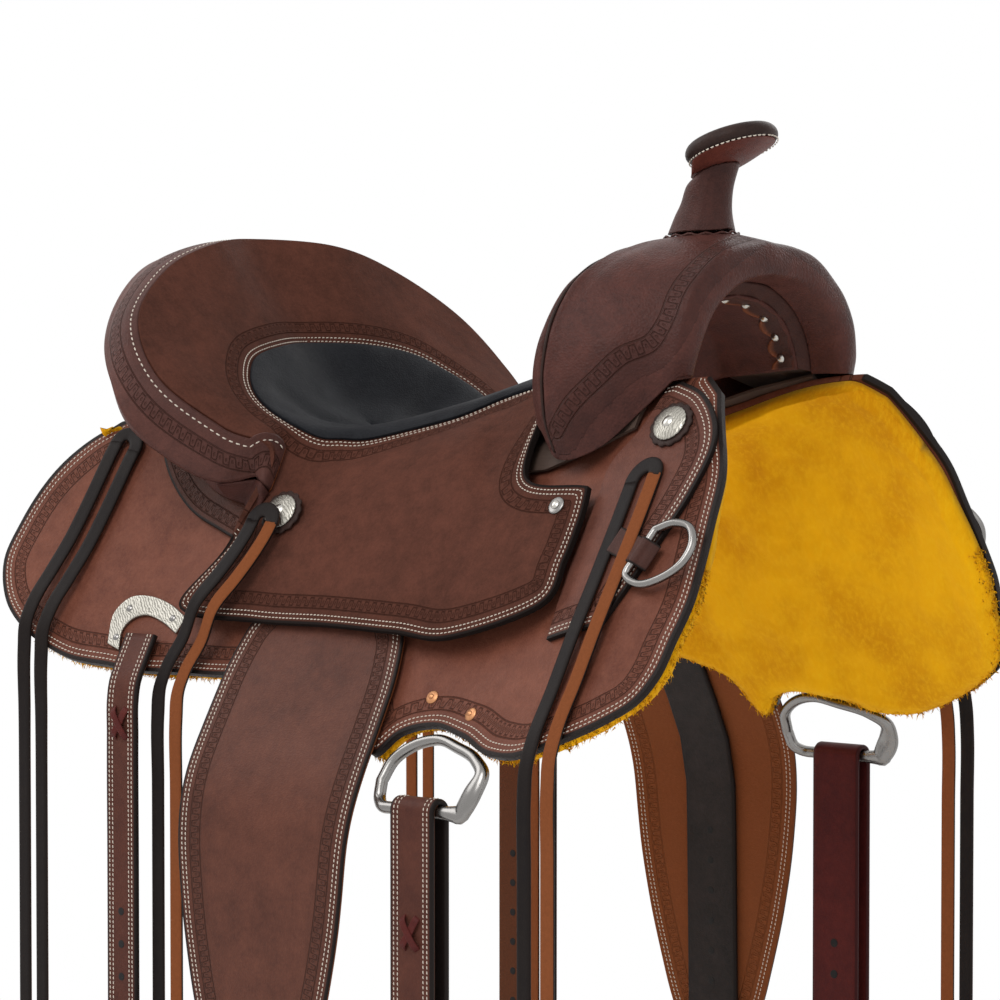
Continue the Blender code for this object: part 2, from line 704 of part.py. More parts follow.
def make_swell():
    u = np.array([0, 0.5, 1, 1.5, 2, 2.5, 3, 3.5, 4, 4.5, 4.8, 5.1, 5.5, 5.9, 6.2, 6.6, 7]) / 7
    grid = swell_grid(u, np.linspace(0, 1, 11))
    mirrored(sheet("swell_cover", grid, SWELL_THICK, LEATHER_DARK, outward=False))


FORK_STATIONS = (0.20, 0.30, 0.40, 0.52)
LINING_ARCH = ((0.0, 0.1395), (0.030, 0.1345), (0.055, 0.121), (0.068, 0.102), (0.074, 0.084))
LINING_FRONT = 0.2335
LINING_SLOPE = 0.10
FORK_GAP = 0.0028
COVER_GAP = 0.0009


def lining_arch(x, out=0.0):
    """The lining's outer face at a station, from the middle to its left foot, moved outwards."""
    arch = flowing_even(np.array([(x, y, z) for y, z in LINING_ARCH]), np.linspace(0, 1, 9))
    arch[:, 2] -= LINING_SLOPE * (LINING_FRONT - x)
    ahead = np.gradient(arch, axis=0)
    outward = np.stack([0 * ahead[:, 0], -ahead[:, 2], ahead[:, 1]], axis=1)
    outward[0] = (0, 0, 1)
    return arch + out * outward / np.linalg.norm(outward, axis=1, keepdims=True)


def make_fork():
    """The wooden fork, between the swell's cover and the lining of the arch."""
    low, high = [], []
    for u in FORK_STATIONS:
        place = swell_grid(np.array([u]), np.linspace(1, 0.16, 9))[0]
        toward = place[0] - (0, 0, 0.045) - place
        toward[:, 0] = 0
        toward /= np.linalg.norm(toward, axis=1, keepdims=True)
        high.append(place + toward * (SWELL_THICK + COVER_GAP))
        low.append(lining_arch(place[-1, 0], FORK_GAP))
    walls = ("outer", "start", "end")
    mirrored(slab("fork_core", np.stack(low), np.stack(high), WOOD, walls))


def make_gullet():
    """The leather lining inside the arch, behind the rolled lip."""
    grid = np.stack([lining_arch(x) for x in (LINING_FRONT, 0.215, 0.190, 0.165)])
    mirrored(sheet("gullet_lining", grid, 0.002, LEATHER_BLACK, outward=False))


def swell_height(x, y):
    """The height of the swell's top under a point near the horn."""
    grid = swell_grid(np.linspace(0.6, 4.5, 120) / 7, np.linspace(0.7, 1, 90)).reshape(-1, 3)
    d = (grid[:, 0] - x) ** 2 + (grid[:, 1] - abs(y)) ** 2
    near = np.argsort(d)[:4]
    return float(np.average(grid[near, 2], weights=1 / (d[near] + 1e-9)))


# Horn
NECK_RINGS = (
    (0.1995, None, 0.0250), (0.2015, 0.1965, 0.0215), (0.2040, 0.2060, 0.0190), (0.2075, 0.2190, 0.0175),
)
CAP_CENTRE = (0.227, 0.0, 0.250)
CAP_PROFILE = (
    (0.0325, -0.0062), (0.0348, -0.0036), (0.0350, 0.0006), (0.0325, 0.0044), (0.0240, 0.0068),
    (0.0120, 0.0080),
)
CAP_SLIDE = -0.0195
UNDERSIDE_DROP = 0.0135
NECK_SIDES = 20


def cap_point(across, left, up):
    tilt = math.radians(HORN_CAP_TILT)
    along = Vector((math.cos(tilt), 0, math.sin(tilt)))
    axis = Vector((-math.sin(tilt), 0, math.cos(tilt)))
    return Vector(CAP_CENTRE) + along * across + Vector((0, left, 0)) + axis * up


def cap_ring(radius, up, slide=0.0, sides=28):
    turns = [2 * math.pi * k / sides for k in range(sides)]
    return [cap_point(slide + radius * math.cos(a), radius * math.sin(a), up) for a in turns]


def neck_ring(level, radius):
    x, z, _ = NECK_RINGS[level]
    ring = []
    for k in range(NECK_SIDES):
        a = 2 * math.pi * k / NECK_SIDES
        px, py = x + radius * math.cos(a), radius * math.sin(a)
        ring.append((px, py, swell_height(px, py) + 0.0042 if z is None else z))
    return ring


def neck_rings(inset):
    rings = [neck_ring(level, NECK_RINGS[level][2] - inset) for level in range(len(NECK_RINGS))]
    top = UNDERSIDE_DROP + GAP
    rings.append([tuple(p) for p in cap_ring(0.0170 - inset, -top, CAP_SLIDE + 0.001, NECK_SIDES)])
    return rings


def make_horn():
    core = neck_rings(HORN_NECK_WALL + GAP)
    middle = [neck_ring(0, NECK_RINGS[0][2] * share) for share in (0.1, 0.45)]
    loft("horn_core", middle + core, WOOD)
    outer, inner = neck_rings(0.0), neck_rings(HORN_NECK_WALL)
    rings = [np.asarray(r, float) for r in outer + inner[::-1]]
    loft("horn_neck_wrap", rings, LEATHER_DARK, closed=True)
    loft("horn_cap_cover", [cap_ring(r, h) for r, h in CAP_PROFILE], LEATHER_DARK)
    under = [cap_ring(0.0195, -UNDERSIDE_DROP, CAP_SLIDE), cap_ring(0.0315, -0.0062 - GAP)]
    loft("horn_cap_underside", under, LEATHER_OXBLOOD)


# Stirrup leathers, fenders and stirrups: q runs down from the point where they hang
def hang_origin():
    low = side(HANG_X, 0.260)
    slope = math.radians(HANG_SLOPE)
    back = 0.260 - HANG_S
    return np.array([HANG_X, low[1] - back * math.cos(slope), low[2] + back * math.sin(slope)])


def fall(q, x=0.0, off=0.0):
    """A point of the hanging leathers: q down their length, x forward, off outward."""
    q, x, off = np.broadcast_arrays(*(np.asarray(v, float) for v in (q, x, off)))
    share = np.linspace(0, 1, 41)
    along = q[..., None] * share
    turned = ease((along - FALL_START) / (FALL_END - FALL_START))
    slope = np.radians(HANG_SLOPE + (FALL_SLOPE - HANG_SLOPE) * turned)
    weight = np.full(41, 1 / 40)
    weight[[0, -1]] /= 2
    y = (np.cos(slope) * weight).sum(-1) * q
    z = -(np.sin(slope) * weight).sum(-1) * q
    base = hang_origin()
    end = slope[..., -1]
    return np.stack([base[0] + x, base[1] + y + off * np.sin(end), base[2] + z + off * np.cos(end)], -1)


FENDER_Q = (0.040, 0.070, 0.105, 0.150, 0.210, 0.260, 0.310, 0.360, 0.410, 0.445, 0.462)
FENDER_HALF = (0.034, 0.056, 0.079, 0.086, 0.087, 0.084, 0.079, 0.070, 0.057, 0.046, 0.038)
FENDER_OFF = STRAP_OFF + STIRRUP_LEATHER_THICK + 2 * GAP


def pivot(name, place):
    """An empty on a joint's axis."""
    empty = bpy.data.objects.new(name, None)
    SADDLE.objects.link(empty)
    empty.location = place
    return empty


def hold(child, parent):
    child.parent = parent
    child.matrix_parent_inverse = Matrix.Translation(-Vector(parent.location))


def make_fenders():
    for word, hand in HANDS:
        q = np.linspace(0, 1, 16)
        q = FENDER_Q[0] + (FENDER_Q[-1] - FENDER_Q[0]) * q
        half = through(FENDER_Q, FENDER_HALF, q)
        across = np.linspace(-1, 1, 9)
        grid = fall(q[None, :], half[None, :] * across[:, None], FENDER_OFF)
        fender = sheet(f"fender_{word}", grid, FENDER_THICK, LEATHER_WARM, hand)
        strap = make_stirrup_leather(word, hand)
        place = to_hand(fall(PIVOT_Q, 0, STRAP_OFF), hand)
        swing = pivot(f"fender_axis_{word}", place)
        hold(fender, swing)
        hold(strap, swing)
        for item in make_hobble(word, hand) + make_bolt(word, hand):
            hold(item, swing)


BOLT_OFF = STRAP_OFF + STIRRUP_LEATHER_THICK / 2 - 0.0024
WRAP = BOLT_RADIUS + 0.0005 + STIRRUP_LEATHER_THICK / 2
PLY_GAP = 0.0008
HOBBLE_GAP = 0.0012
HOBBLE_LIFT = 0.066
HOBBLE_WIDTH = 0.022
PLIES_MEET = 0.040
PLY_END = 0.095


def make_stirrup_leather(word, hand):
    """A strap with a round top end, down to the bolt, round it and up again as a second ply."""
    middle = STRAP_OFF + STIRRUP_LEATHER_THICK / 2
    back = BOLT_OFF - (middle - BOLT_OFF)
    path = [(q, middle) for q in (0.004, 0.010, 0.020, 0.04, 0.07, 0.10, 0.15)]
    path += [(q, middle) for q in np.linspace(FALL_START, 1.3 * FALL_END, 6)]
    path += [(BOLT_Q - up, middle) for up in (0.15, 0.07, PLIES_MEET)]
    path += [(BOLT_Q - 0.022, middle + 0.0018), (BOLT_Q - 0.009, BOLT_OFF + WRAP - 0.0010)]
    for a in np.radians((0, 36, 72, 108, 144, 180)):
        path.append((BOLT_Q + WRAP * math.sin(a), BOLT_OFF + WRAP * math.cos(a)))
    path += [(BOLT_Q - 0.009, BOLT_OFF - WRAP + 0.0010), (BOLT_Q - 0.022, back - 0.0018)]
    path += [(BOLT_Q - up, back) for up in (PLIES_MEET, 0.07, PLY_END)]
    path = np.array(path)
    width = np.full(len(path), STRAP_WIDTH)
    width[:3] = (0.018, 0.036, STRAP_WIDTH - 0.004)
    centre = to_hand(fall(path[:, 0], 0, path[:, 1]), hand)
    rings = band_rings(centre, (1.0, 0, 0), width, STIRRUP_LEATHER_THICK)
    return loft(f"stirrup_leather_{word}", rings, LEATHER_DARK)


def make_hobble(word, hand):
    """The small strap that binds the two plies above the stirrup."""
    half_x = STRAP_WIDTH / 2 + HOBBLE_GAP
    half_off = STIRRUP_LEATHER_THICK + PLY_GAP / 2 + HOBBLE_GAP
    corner = 0.003
    loop = []
    for cx, co, start in ((1, 1, 0), (-1, 1, 90), (-1, -1, 180), (1, -1, 270)):
        for a in (0, 45, 90):
            angle = math.radians(start + a)
            x = cx * (half_x - corner) + corner * math.cos(angle)
            loop.append((x, co * (half_off - corner) + corner * math.sin(angle)))
    rings = []
    thick = 0.0016
    low = BOLT_Q - HOBBLE_LIFT
    top = low - HOBBLE_WIDTH
    for k, (x, off) in enumerate(loop):
        before, after = loop[k - 1], loop[(k + 1) % len(loop)]
        tangent = np.array(after) - np.array(before)
        out = np.array((tangent[1], -tangent[0])) / np.linalg.norm(tangent)
        a, b = np.array((x, off)), np.array((x, off)) + out * thick
        corners = ((top, a), (low, a), (low, b), (top, b))
        rings.append([to_hand(fall(q, p[0], BOLT_OFF + p[1]), hand) for q, p in corners])
    return [loft(f"hobble_strap_{word}", rings, LEATHER_DARK, closed=True)]


STIRRUP_TOP_HALF = 0.0310
STIRRUP_WALL = 0.008


def make_bolt(word, hand):
    centre = to_hand(fall(BOLT_Q, 0, BOLT_OFF), hand)
    length = 2 * (STIRRUP_TOP_HALF - STIRRUP_WALL / 2 - 0.0004)
    start = centre - (length / 2, 0, 0)
    bolt = disc(f"stirrup_bolt_{word}", (start, (1, 0, 0)), BOLT_RADIUS, length, STEEL, segments=16)
    made = make_stirrup(word, centre)
    return [bolt, made]


STIRRUP_PATH = (
    (0.0310, 0.014), (0.0310, -0.012), (0.0350, -0.032), (0.0450, -0.058), (0.0560, -0.086),
    (0.0640, -0.112), (0.0660, -0.132), (0.0600, -0.147), (0.0440, -0.153), (0.0220, -0.1545), (0.0, -0.155),
)
STIRRUP_WIDTHS = (0.030, 0.034, 0.040, 0.047, 0.053, 0.060, 0.064, 0.066, 0.068, 0.068, 0.068)


def make_stirrup(word, centre):
    half = [(x, z, w) for (x, z), w in zip(STIRRUP_PATH, STIRRUP_WIDTHS)]
    full = half + [(-x, z, w) for x, z, w in half[-2::-1]]
    path = np.array([(x, 0, z) for x, z, w in full]) + centre
    width = [w for x, z, w in full]
    axis = pivot(f"stirrup_axis_{word}", centre)
    body = loft(f"stirrup_{word}", band_rings(path, (0, 1.0, 0), width, STIRRUP_WALL), WOOD)
    tread_path = np.array([(x, 0, -0.155 + STIRRUP_WALL / 2 + 0.0016) for x in (-0.020, 0.020)]) + centre
    tread = loft(f"stirrup_tread_{word}", band_rings(tread_path, (0, 1.0, 0), 0.060, 0.002), RUBBER)
    hold(body, axis)
    hold(tread, axis)
    return axis


# Rigging ring in the cut-out of the skirt
RING_PATH = (
    (0.099, 0.368), (0.103, 0.352), (0.117, 0.3413), (0.138, 0.3392), (0.160, 0.3503), (0.184, 0.3695),
    (0.1955, 0.386), (0.193, 0.398),
)
RING_BAR = (0.184, 0.165, 0.145, 0.125, 0.112)
RING_BAR_X = 0.145
RING_BAR_S = 0.396
RING_OFF = -0.002


def ring_bar():
    """The straight, level lower bar of the ring, as points from front to rear."""
    middle = side(RING_BAR_X, RING_BAR_S, RING_OFF)
    return np.array([middle + (x - RING_BAR_X, 0, 0) for x in RING_BAR])


def make_rings():
    for word, hand in HANDS:
        upper = np.array([side(x, s, RING_OFF) for x, s in RING_PATH])
        upper = flowing(np.vstack([upper, ring_bar()[:1]]), np.linspace(0, 1, 18)[:-1])
        turn = (ring_bar()[-1] + upper[0]) / 2 + (-0.0035, 0, -0.004)
        points = to_hand(np.vstack([upper, ring_bar(), [turn]]), hand)
        wire(f"rigging_ring_{word}", points, RING_WIRE, STEEL)


def on_side(x, s, off, hand):
    """A place on the side and its outward direction."""
    p, q = side(x, s, off), side(x, s, off + 0.01)
    a, b = side(x + 0.004, s, off), side(x, s + 0.004, off)
    n = np.cross(a - p, b - p)
    return to_hand(p, hand), to_hand(n / np.linalg.norm(n), hand)


ROSETTE_LIFT = 0.0006
ROSETTE_THICK = 0.0022
SEAT_TOP_OFF = max(JOCKEY_OFF) + SEAT_THICK
CONCHO_PROUD = 0.0024
CONCHOS = {
    "rear": (-0.072, 0.158, SEAT_TOP_OFF + CONCHO_PROUD),
    "front": (0.273, 0.150, FRONT_JOCKEY_OFF + FRONT_JOCKEY_THICK),
}


def make_conchos():
    """The silver conchos, each on its leather rosette."""
    for where, (x, s, off) in CONCHOS.items():
        for word, hand in HANDS:
            under = on_side(x, s, off + ROSETTE_LIFT, hand)
            over = on_side(x, s, off + ROSETTE_LIFT + ROSETTE_THICK + GAP, hand)
            disc(f"rosette_{where}_{word}", under, ROSETTE_RADIUS, ROSETTE_THICK, THONG)
            top = CONCHO_RADIUS * 0.55
            disc(f"concho_{where}_{word}", over, CONCHO_RADIUS, 0.0032, SILVER, top=top)


# Rear rigging plates and billets
def make_plates():
    outline = (
        (-0.212, 0.292), (-0.2165, 0.268), (-0.206, 0.250), (-0.188, 0.242), (-0.166, 0.242), (-0.146, 0.249),
    )
    inner = (
        (-0.199, 0.292), (-0.2025, 0.276), (-0.197, 0.265), (-0.186, 0.2575), (-0.168, 0.2575),
        (-0.150, 0.2635),
    )
    for word, hand in HANDS:
        grid = panel(inner, outline, SKIRT_THICK + GAP, 10, 2)
        sheet(f"rear_plate_{word}", grid[::-1], 0.0025, SILVER, hand)


def hanging(name, hand, top, length, width, thick, finish, fold):
    """A strap folded over a level bar and hanging straight down in two equal plies."""
    path = [(-fold, -length), (-fold, -length * 0.5), (-fold, -0.012)]
    path += [(-fold * math.cos(a), fold * math.sin(a)) for a in np.radians((0, 45, 90, 135, 180))]
    path += [(fold, -0.012), (fold, -length * 0.5), (fold, -length)]
    p = np.array([(0, y, z) for y, z in path]) + to_hand(top, hand)
    return loft(name, band_rings(p, (1.0, 0, 0), width, thick), finish)


FOLD_GAP = 0.0008
LATIGO_THICK = 0.0040
OFF_BILLET_LENGTH = 0.330
LATIGO_LENGTH = 0.330
REAR_BILLET_X = -0.180
REAR_BILLET_TOP_S = 0.273
REAR_BILLET_WIDTH = 0.032
REAR_BILLET_END = -0.560


def make_hangers():
    """The billets and the latigo, each folded over its bar or led through its plate."""
    for word, hand in HANDS:
        bar = side(RING_BAR_X, RING_BAR_S, RING_OFF)
        axis = pivot(f"ring_strap_axis_{word}", to_hand(bar, hand))
        if word == "right":
            fold = RING_WIRE + FOLD_GAP + BILLET_THICK / 2
            item = hanging("off_billet", hand, bar, OFF_BILLET_LENGTH, 0.040, BILLET_THICK, LEATHER_DARK, fold)
        else:
            fold = RING_WIRE + FOLD_GAP + LATIGO_THICK / 2
            item = hanging("latigo", hand, bar, LATIGO_LENGTH, 0.044, LATIGO_THICK, LEATHER_OXBLOOD, fold)
        hold(item, axis)
        off = SKIRT_THICK + 0.0022 + BILLET_THICK / 2
        lying = [side(REAR_BILLET_X, s, off) for s in np.linspace(REAR_BILLET_TOP_S, 0.302, 5)]
        edge = lying[-1]
        bend = [edge + (0, 0.0045, -0.010), edge + (0, 0.0065, -0.021)]
        fall_down = [(edge[0], edge[1] + 0.007, z) for z in np.linspace(edge[2] - 0.05, REAR_BILLET_END, 5)]
        path = to_hand(np.vstack([lying, bend, fall_down]), hand)
        axis = pivot(f"rear_billet_axis_{word}", to_hand(lying[0], hand))
        rings = band_rings(path, (1.0, 0, 0), REAR_BILLET_WIDTH, BILLET_THICK)
        item = loft(f"rear_billet_{word}", rings, LEATHER_DARK)
        hold(item, axis)


# Breast collar dees
DEE_PATH = (
    (0.2945, 0.241), (0.2885, 0.257), (0.2825, 0.273), (0.296, 0.284), (0.313, 0.284), (0.326, 0.274),
    (0.329, 0.260), (0.322, 0.247), (0.308, 0.240),
)


def make_dees():
    off = FRONT_JOCKEY_OFF + FRONT_JOCKEY_THICK + DEE_WIRE + 0.0004
    for word, hand in HANDS:
        points = to_hand(np.array([side(x, s, off) for x, s in DEE_PATH]), hand)
        item = wire(f"dee_ring_{word}", points, DEE_WIRE, STEEL)
        axis = pivot(f"dee_axis_{word}", to_hand(side(0.2885, 0.257, off), hand))
        hold(item, axis)


# Saddle strings: pairs of thongs, each lying on the leather and then hanging
STRING_DROP = -0.480
STRING_APART = 0.0096
OVER_CONCHO = ROSETTE_LIFT + ROSETTE_THICK + GAP + 0.0032 + THONG_THICK / 2 + GAP
TURN_ANGLES = np.radians((18, 45, 67, 90, 113, 135, 162))


def string_path(x, s, off, low_s, low_off, drift=0.0):
    steps = np.array([0, 0.06, 0.2, 0.4, 0.6, 0.8, 1.0])
    down = s + (low_s - s) * steps
    offs = off + (low_off - off) * ease((steps - 0.55) / 0.45)
    lying = side(x + drift * steps ** 1.5, down, offs)
    end = lying[-1]
    lead = lying[-1] - lying[-2]
    lead /= np.linalg.norm(lead)
    bend = end + lead * 0.012 + (0, 0, -0.006)
    hang = [bend + (0, 0.002, -0.020)]
    floor = hang[0]
    rest = [(floor[0], floor[1], z) for z in np.linspace(floor[2] - 0.05, STRING_DROP, 5)]
    return np.vstack([lying, [bend], hang, rest])


def make_strings():
    leaf_top = FRONT_JOCKEY_OFF + FRONT_JOCKEY_THICK
    stations = {
        "rear": (-0.264, 0.146, SKIRT_THICK + 0.0046, 0.292, SKIRT_THICK + 0.0084, -0.018),
        "middle": (-0.080, 0.170, SEAT_TOP_OFF + CONCHO_PROUD + OVER_CONCHO, 0.292, SKIRT_THICK + 0.004, -0.055),
        "front": (0.266, 0.190, leaf_top + 0.0022, 0.388, SKIRT_THICK + 0.0032, -0.010),
    }
    for where, (x, s, off, low_s, low_off, drift) in stations.items():
        for word, hand in HANDS:
            rear = string_path(x - STRING_APART, s, off, low_s, low_off, drift)
            fore = string_path(x + STRING_APART, s, off, low_s, low_off, drift)
            across_turn, up_turn = STRING_APART * np.cos(TURN_ANGLES), STRING_APART * np.sin(TURN_ANGLES)
            turn = [side(x - a, s - b, off) for a, b in zip(across_turn, up_turn)]
            path = np.vstack([rear[::-1], turn, fore])
            ahead = np.gradient(path, axis=0)
            flat = np.stack([on_side(px, s, 0, 1)[1] for px in path[:, 0]])
            hung = np.zeros(len(rear) - 7)
            lying = np.concatenate([hung, np.ones(7 + len(turn) + 7), hung])
            out = flat * lying[:, None] + np.array((0, 1.0, 0.05)) * (1 - lying[:, None])
            across = np.cross(ahead, out)
            across /= np.linalg.norm(across, axis=1, keepdims=True)
            path, across = to_hand(path, hand), to_hand(across, hand)
            loft(f"strings_{where}_{word}", band_rings(path, across, THONG_WIDTH, THONG_THICK), THONG)


make_skirts()
make_bars()
make_seat()
make_pad()
make_tree()
make_cantle_back()
make_roll()
make_rear_jockeys()
make_front_jockeys()
make_swell()
make_fork()
make_gullet()
make_horn()
make_fenders()
make_rings()
make_conchos()
make_plates()
make_hangers()
make_dees()
make_strings()
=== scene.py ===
"""The looks of a western trail saddle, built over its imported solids.

Every piece is made in metres in the solids' own frame: X to the horse's head, Y to its left, Z up.
"""

import logging
import math
from dataclasses import dataclass, field
from enum import Enum
from typing import Callable, Iterable, Sequence

import bmesh
import bpy
import numpy as np
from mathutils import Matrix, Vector, noise


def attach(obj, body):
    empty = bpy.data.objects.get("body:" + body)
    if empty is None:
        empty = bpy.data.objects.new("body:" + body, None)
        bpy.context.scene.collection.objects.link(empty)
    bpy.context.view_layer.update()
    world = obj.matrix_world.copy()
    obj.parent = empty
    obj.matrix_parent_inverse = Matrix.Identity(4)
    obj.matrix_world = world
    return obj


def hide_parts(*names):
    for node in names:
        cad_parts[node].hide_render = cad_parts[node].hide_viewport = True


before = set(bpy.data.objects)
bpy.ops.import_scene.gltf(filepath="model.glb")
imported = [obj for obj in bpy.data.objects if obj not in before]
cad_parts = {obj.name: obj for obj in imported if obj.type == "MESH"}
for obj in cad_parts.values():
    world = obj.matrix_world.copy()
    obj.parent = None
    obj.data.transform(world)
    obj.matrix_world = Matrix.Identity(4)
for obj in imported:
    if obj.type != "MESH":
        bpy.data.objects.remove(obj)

LOG = logging.getLogger("saddle")
Array = np.ndarray
HANDS: tuple[tuple[str, int], ...] = (("left", 1), ("right", -1))


# Curves and surfaces

def hermite(t: Array, one: Array, two: Array, slope_one: Array, slope_two: Array, h: Array | float = 1.0) -> Array:
    """The smooth step between two values that leaves and meets them at the slopes wanted.

    Args:
        t: from 0 at the first value to 1 at the second.
        one: the first value.
        two: the second value.
        slope_one: the slope at the first.
        slope_two: the slope at the second.
        h: the length of the step in the units of the slopes.

    Returns:
        The value at t.
    """
    return (
        (1 + 2 * t) * (1 - t) ** 2 * one + t * (1 - t) ** 2 * h * slope_one
        + t * t * (3 - 2 * t) * two + t * t * (t - 1) * h * slope_two
    )


def run_lengths(points: Array) -> Array:
    """How far along a line each of its points lies."""
    return np.concatenate([[0], np.cumsum(np.linalg.norm(np.diff(points, axis=0), axis=1))])


def through(stations: Sequence[float], values: Sequence, at: Array) -> Array:
    """Follow a smooth curve through values at stations, with no overshoot.

    Args:
        stations: rising places of the values.
        values: a number or a point at each station.
        at: the places wanted.

    Returns:
        The values at those places.
    """
    x, y = np.asarray(stations, float), np.asarray(values, float)
    at = np.clip(np.asarray(at, float), x[0], x[-1])
    step = np.diff(x)
    rise = np.diff(y, axis=0) / step
    slope = np.zeros_like(y)
    slope[0], slope[-1] = rise[0], rise[-1]
    before, after = rise[:-1], rise[1:]
    same = before * after > 0
    w1, w2 = 2 * step[1:] + step[:-1], step[1:] + 2 * step[:-1]
    safe_before, safe_after = np.where(same, before, 1.0), np.where(same, after, 1.0)
    slope[1:-1] = np.where(same, (w1 + w2) / (w1 / safe_before + w2 / safe_after), 0.0)
    k = np.clip(np.searchsorted(x, at, side="right") - 1, 0, len(x) - 2)
    t, h = (at - x[k]) / step[k], step[k]
    return hermite(t, y[k], y[k + 1], slope[k], slope[k + 1], h)


def flowing(points: Sequence, at: Array) -> Array:
    """Follow a smooth curve through points, at from 0 to 1 by length.

    Args:
        points: the points.
        at: the places wanted.

    Returns:
        The points at those places.
    """
    p = np.asarray(points, float)
    length = run_lengths(p)
    tangent = np.gradient(p, length, axis=0)
    at = np.asarray(at, float) * length[-1]
    k = np.clip(np.searchsorted(length, at, side="right") - 1, 0, len(p) - 2)
    h = (length[k + 1] - length[k])[..., None]
    t = (at - length[k])[..., None] / h
    return hermite(t, p[k], p[k + 1], tangent[k], tangent[k + 1], h)


def flowing_even(points: Sequence, at: Array, from_middle: bool = False) -> Array:
    """Follow a smooth curve through points at even steps, at from 0 to 1.

    Args:
        points: the points.
        at: the places wanted.
        from_middle: whether the curve starts square to the middle plane.

    Returns:
        The points at those places.
    """
    p = np.asarray(points, float)
    tangent = np.gradient(p, axis=0)
    if from_middle:
        tangent[0] *= (0, 1, 0)
    place = np.clip(np.asarray(at, float), 0, 1) * (len(p) - 1)
    k = np.clip(place.astype(int), 0, len(p) - 2)
    t = (place - k)[..., None]
    return hermite(t, p[k], p[k + 1], tangent[k], tangent[k + 1])


def blend_even(rows: Sequence[Array], at: Array) -> Array:
    """Follow a smooth curve between rows of points that are already given for each place.

    Args:
        rows: the rows.
        at: how far through the rows each place lies, from 0 to 1.

    Returns:
        The points at those places.
    """
    stack = np.stack(rows)
    tangent = np.gradient(stack, axis=0)
    place = np.clip(at, 0, 1) * (len(rows) - 1)
    k = np.clip(place.astype(int), 0, len(rows) - 2)
    t = (place - k)[..., None]

    def pick(values: Array, n: Array) -> Array:
        """The rows numbered n."""
        return np.take_along_axis(values, n[None, ..., None], axis=0)[0]

    return hermite(t, pick(stack, k), pick(stack, k + 1), pick(tangent, k), pick(tangent, k + 1))


def ease(t: Array) -> Array:
    """A soft step from 0 to 1."""
    t = np.clip(t, 0, 1)
    return t * t * (3 - 2 * t)


def to_hand(points: Array, hand: int) -> Array:
    """Points of the left side as they are on the side wanted."""
    return np.asarray(points, float) * (1, hand, 1)


def unit(v: Array) -> Array:
    """Vectors at length one."""
    return v / np.maximum(np.linalg.norm(v, axis=-1, keepdims=True), 1e-12)


def resample(points: Array, pitch: float, normals: Array) -> tuple[Array, Array]:
    """Points at even steps along a line.

    Args:
        points: the line.
        pitch: the step, in metres.
        normals: the directions at the points, carried along.

    Returns:
        The new points and the new directions.
    """
    length = run_lengths(points)
    count = max(2, int(length[-1] / pitch) + 1)
    at = np.linspace(0, length[-1], count)
    one, two = (np.stack([np.interp(at, length, v[:, k]) for k in range(3)], 1) for v in (points, normals))
    return one, two


def border_fields(places: Array, border: Array) -> tuple[Array, Array]:
    """How far each place is from a border, and how far along the border that is.

    Args:
        places: any grid of points, in two or three dimensions.
        border: the border's points in order.

    Returns:
        The distance and the run along the border, for every place.
    """
    flat = places.reshape(-1, places.shape[-1])
    a, b = border[:-1], border[1:]
    step = b - a
    length = np.linalg.norm(step, axis=1)
    start = np.concatenate([[0], np.cumsum(length)[:-1]])
    near, run = np.full(len(flat), 9.0), np.zeros(len(flat))
    for low in range(0, len(flat), 4000):
        part = flat[low:low + 4000]
        t = ((part[:, None] - a[None]) * step[None]).sum(-1) / np.maximum(length ** 2, 1e-12)
        t = np.clip(t, 0, 1)
        d = np.linalg.norm(part[:, None] - (a[None] + step[None] * t[..., None]), axis=-1)
        k = d.argmin(1)
        rows = np.arange(len(part))
        near[low:low + 4000] = d[rows, k]
        run[low:low + 4000] = start[k] + t[rows, k] * length[k]
    return near.reshape(places.shape[:-1]), run.reshape(places.shape[:-1])


def fallen(length: Array, steps: int, slope_at: Callable[[Array], Array]) -> tuple[Array, Array, Array]:
    """How far a line has gone out and down, by summing its slope.

    Args:
        length: how far down the line each place lies.
        steps: the steps of the sum.
        slope_at: the slope in radians at lengths down the line.

    Returns:
        The way out, the way down and the slope at each place.
    """
    slope = slope_at(length[..., None] * np.linspace(0, 1, steps + 1))
    weight = np.full(steps + 1, 1 / steps)
    weight[[0, -1]] /= 2
    return (np.cos(slope) * weight).sum(-1) * length, (np.sin(slope) * weight).sum(-1) * length, slope[..., -1]


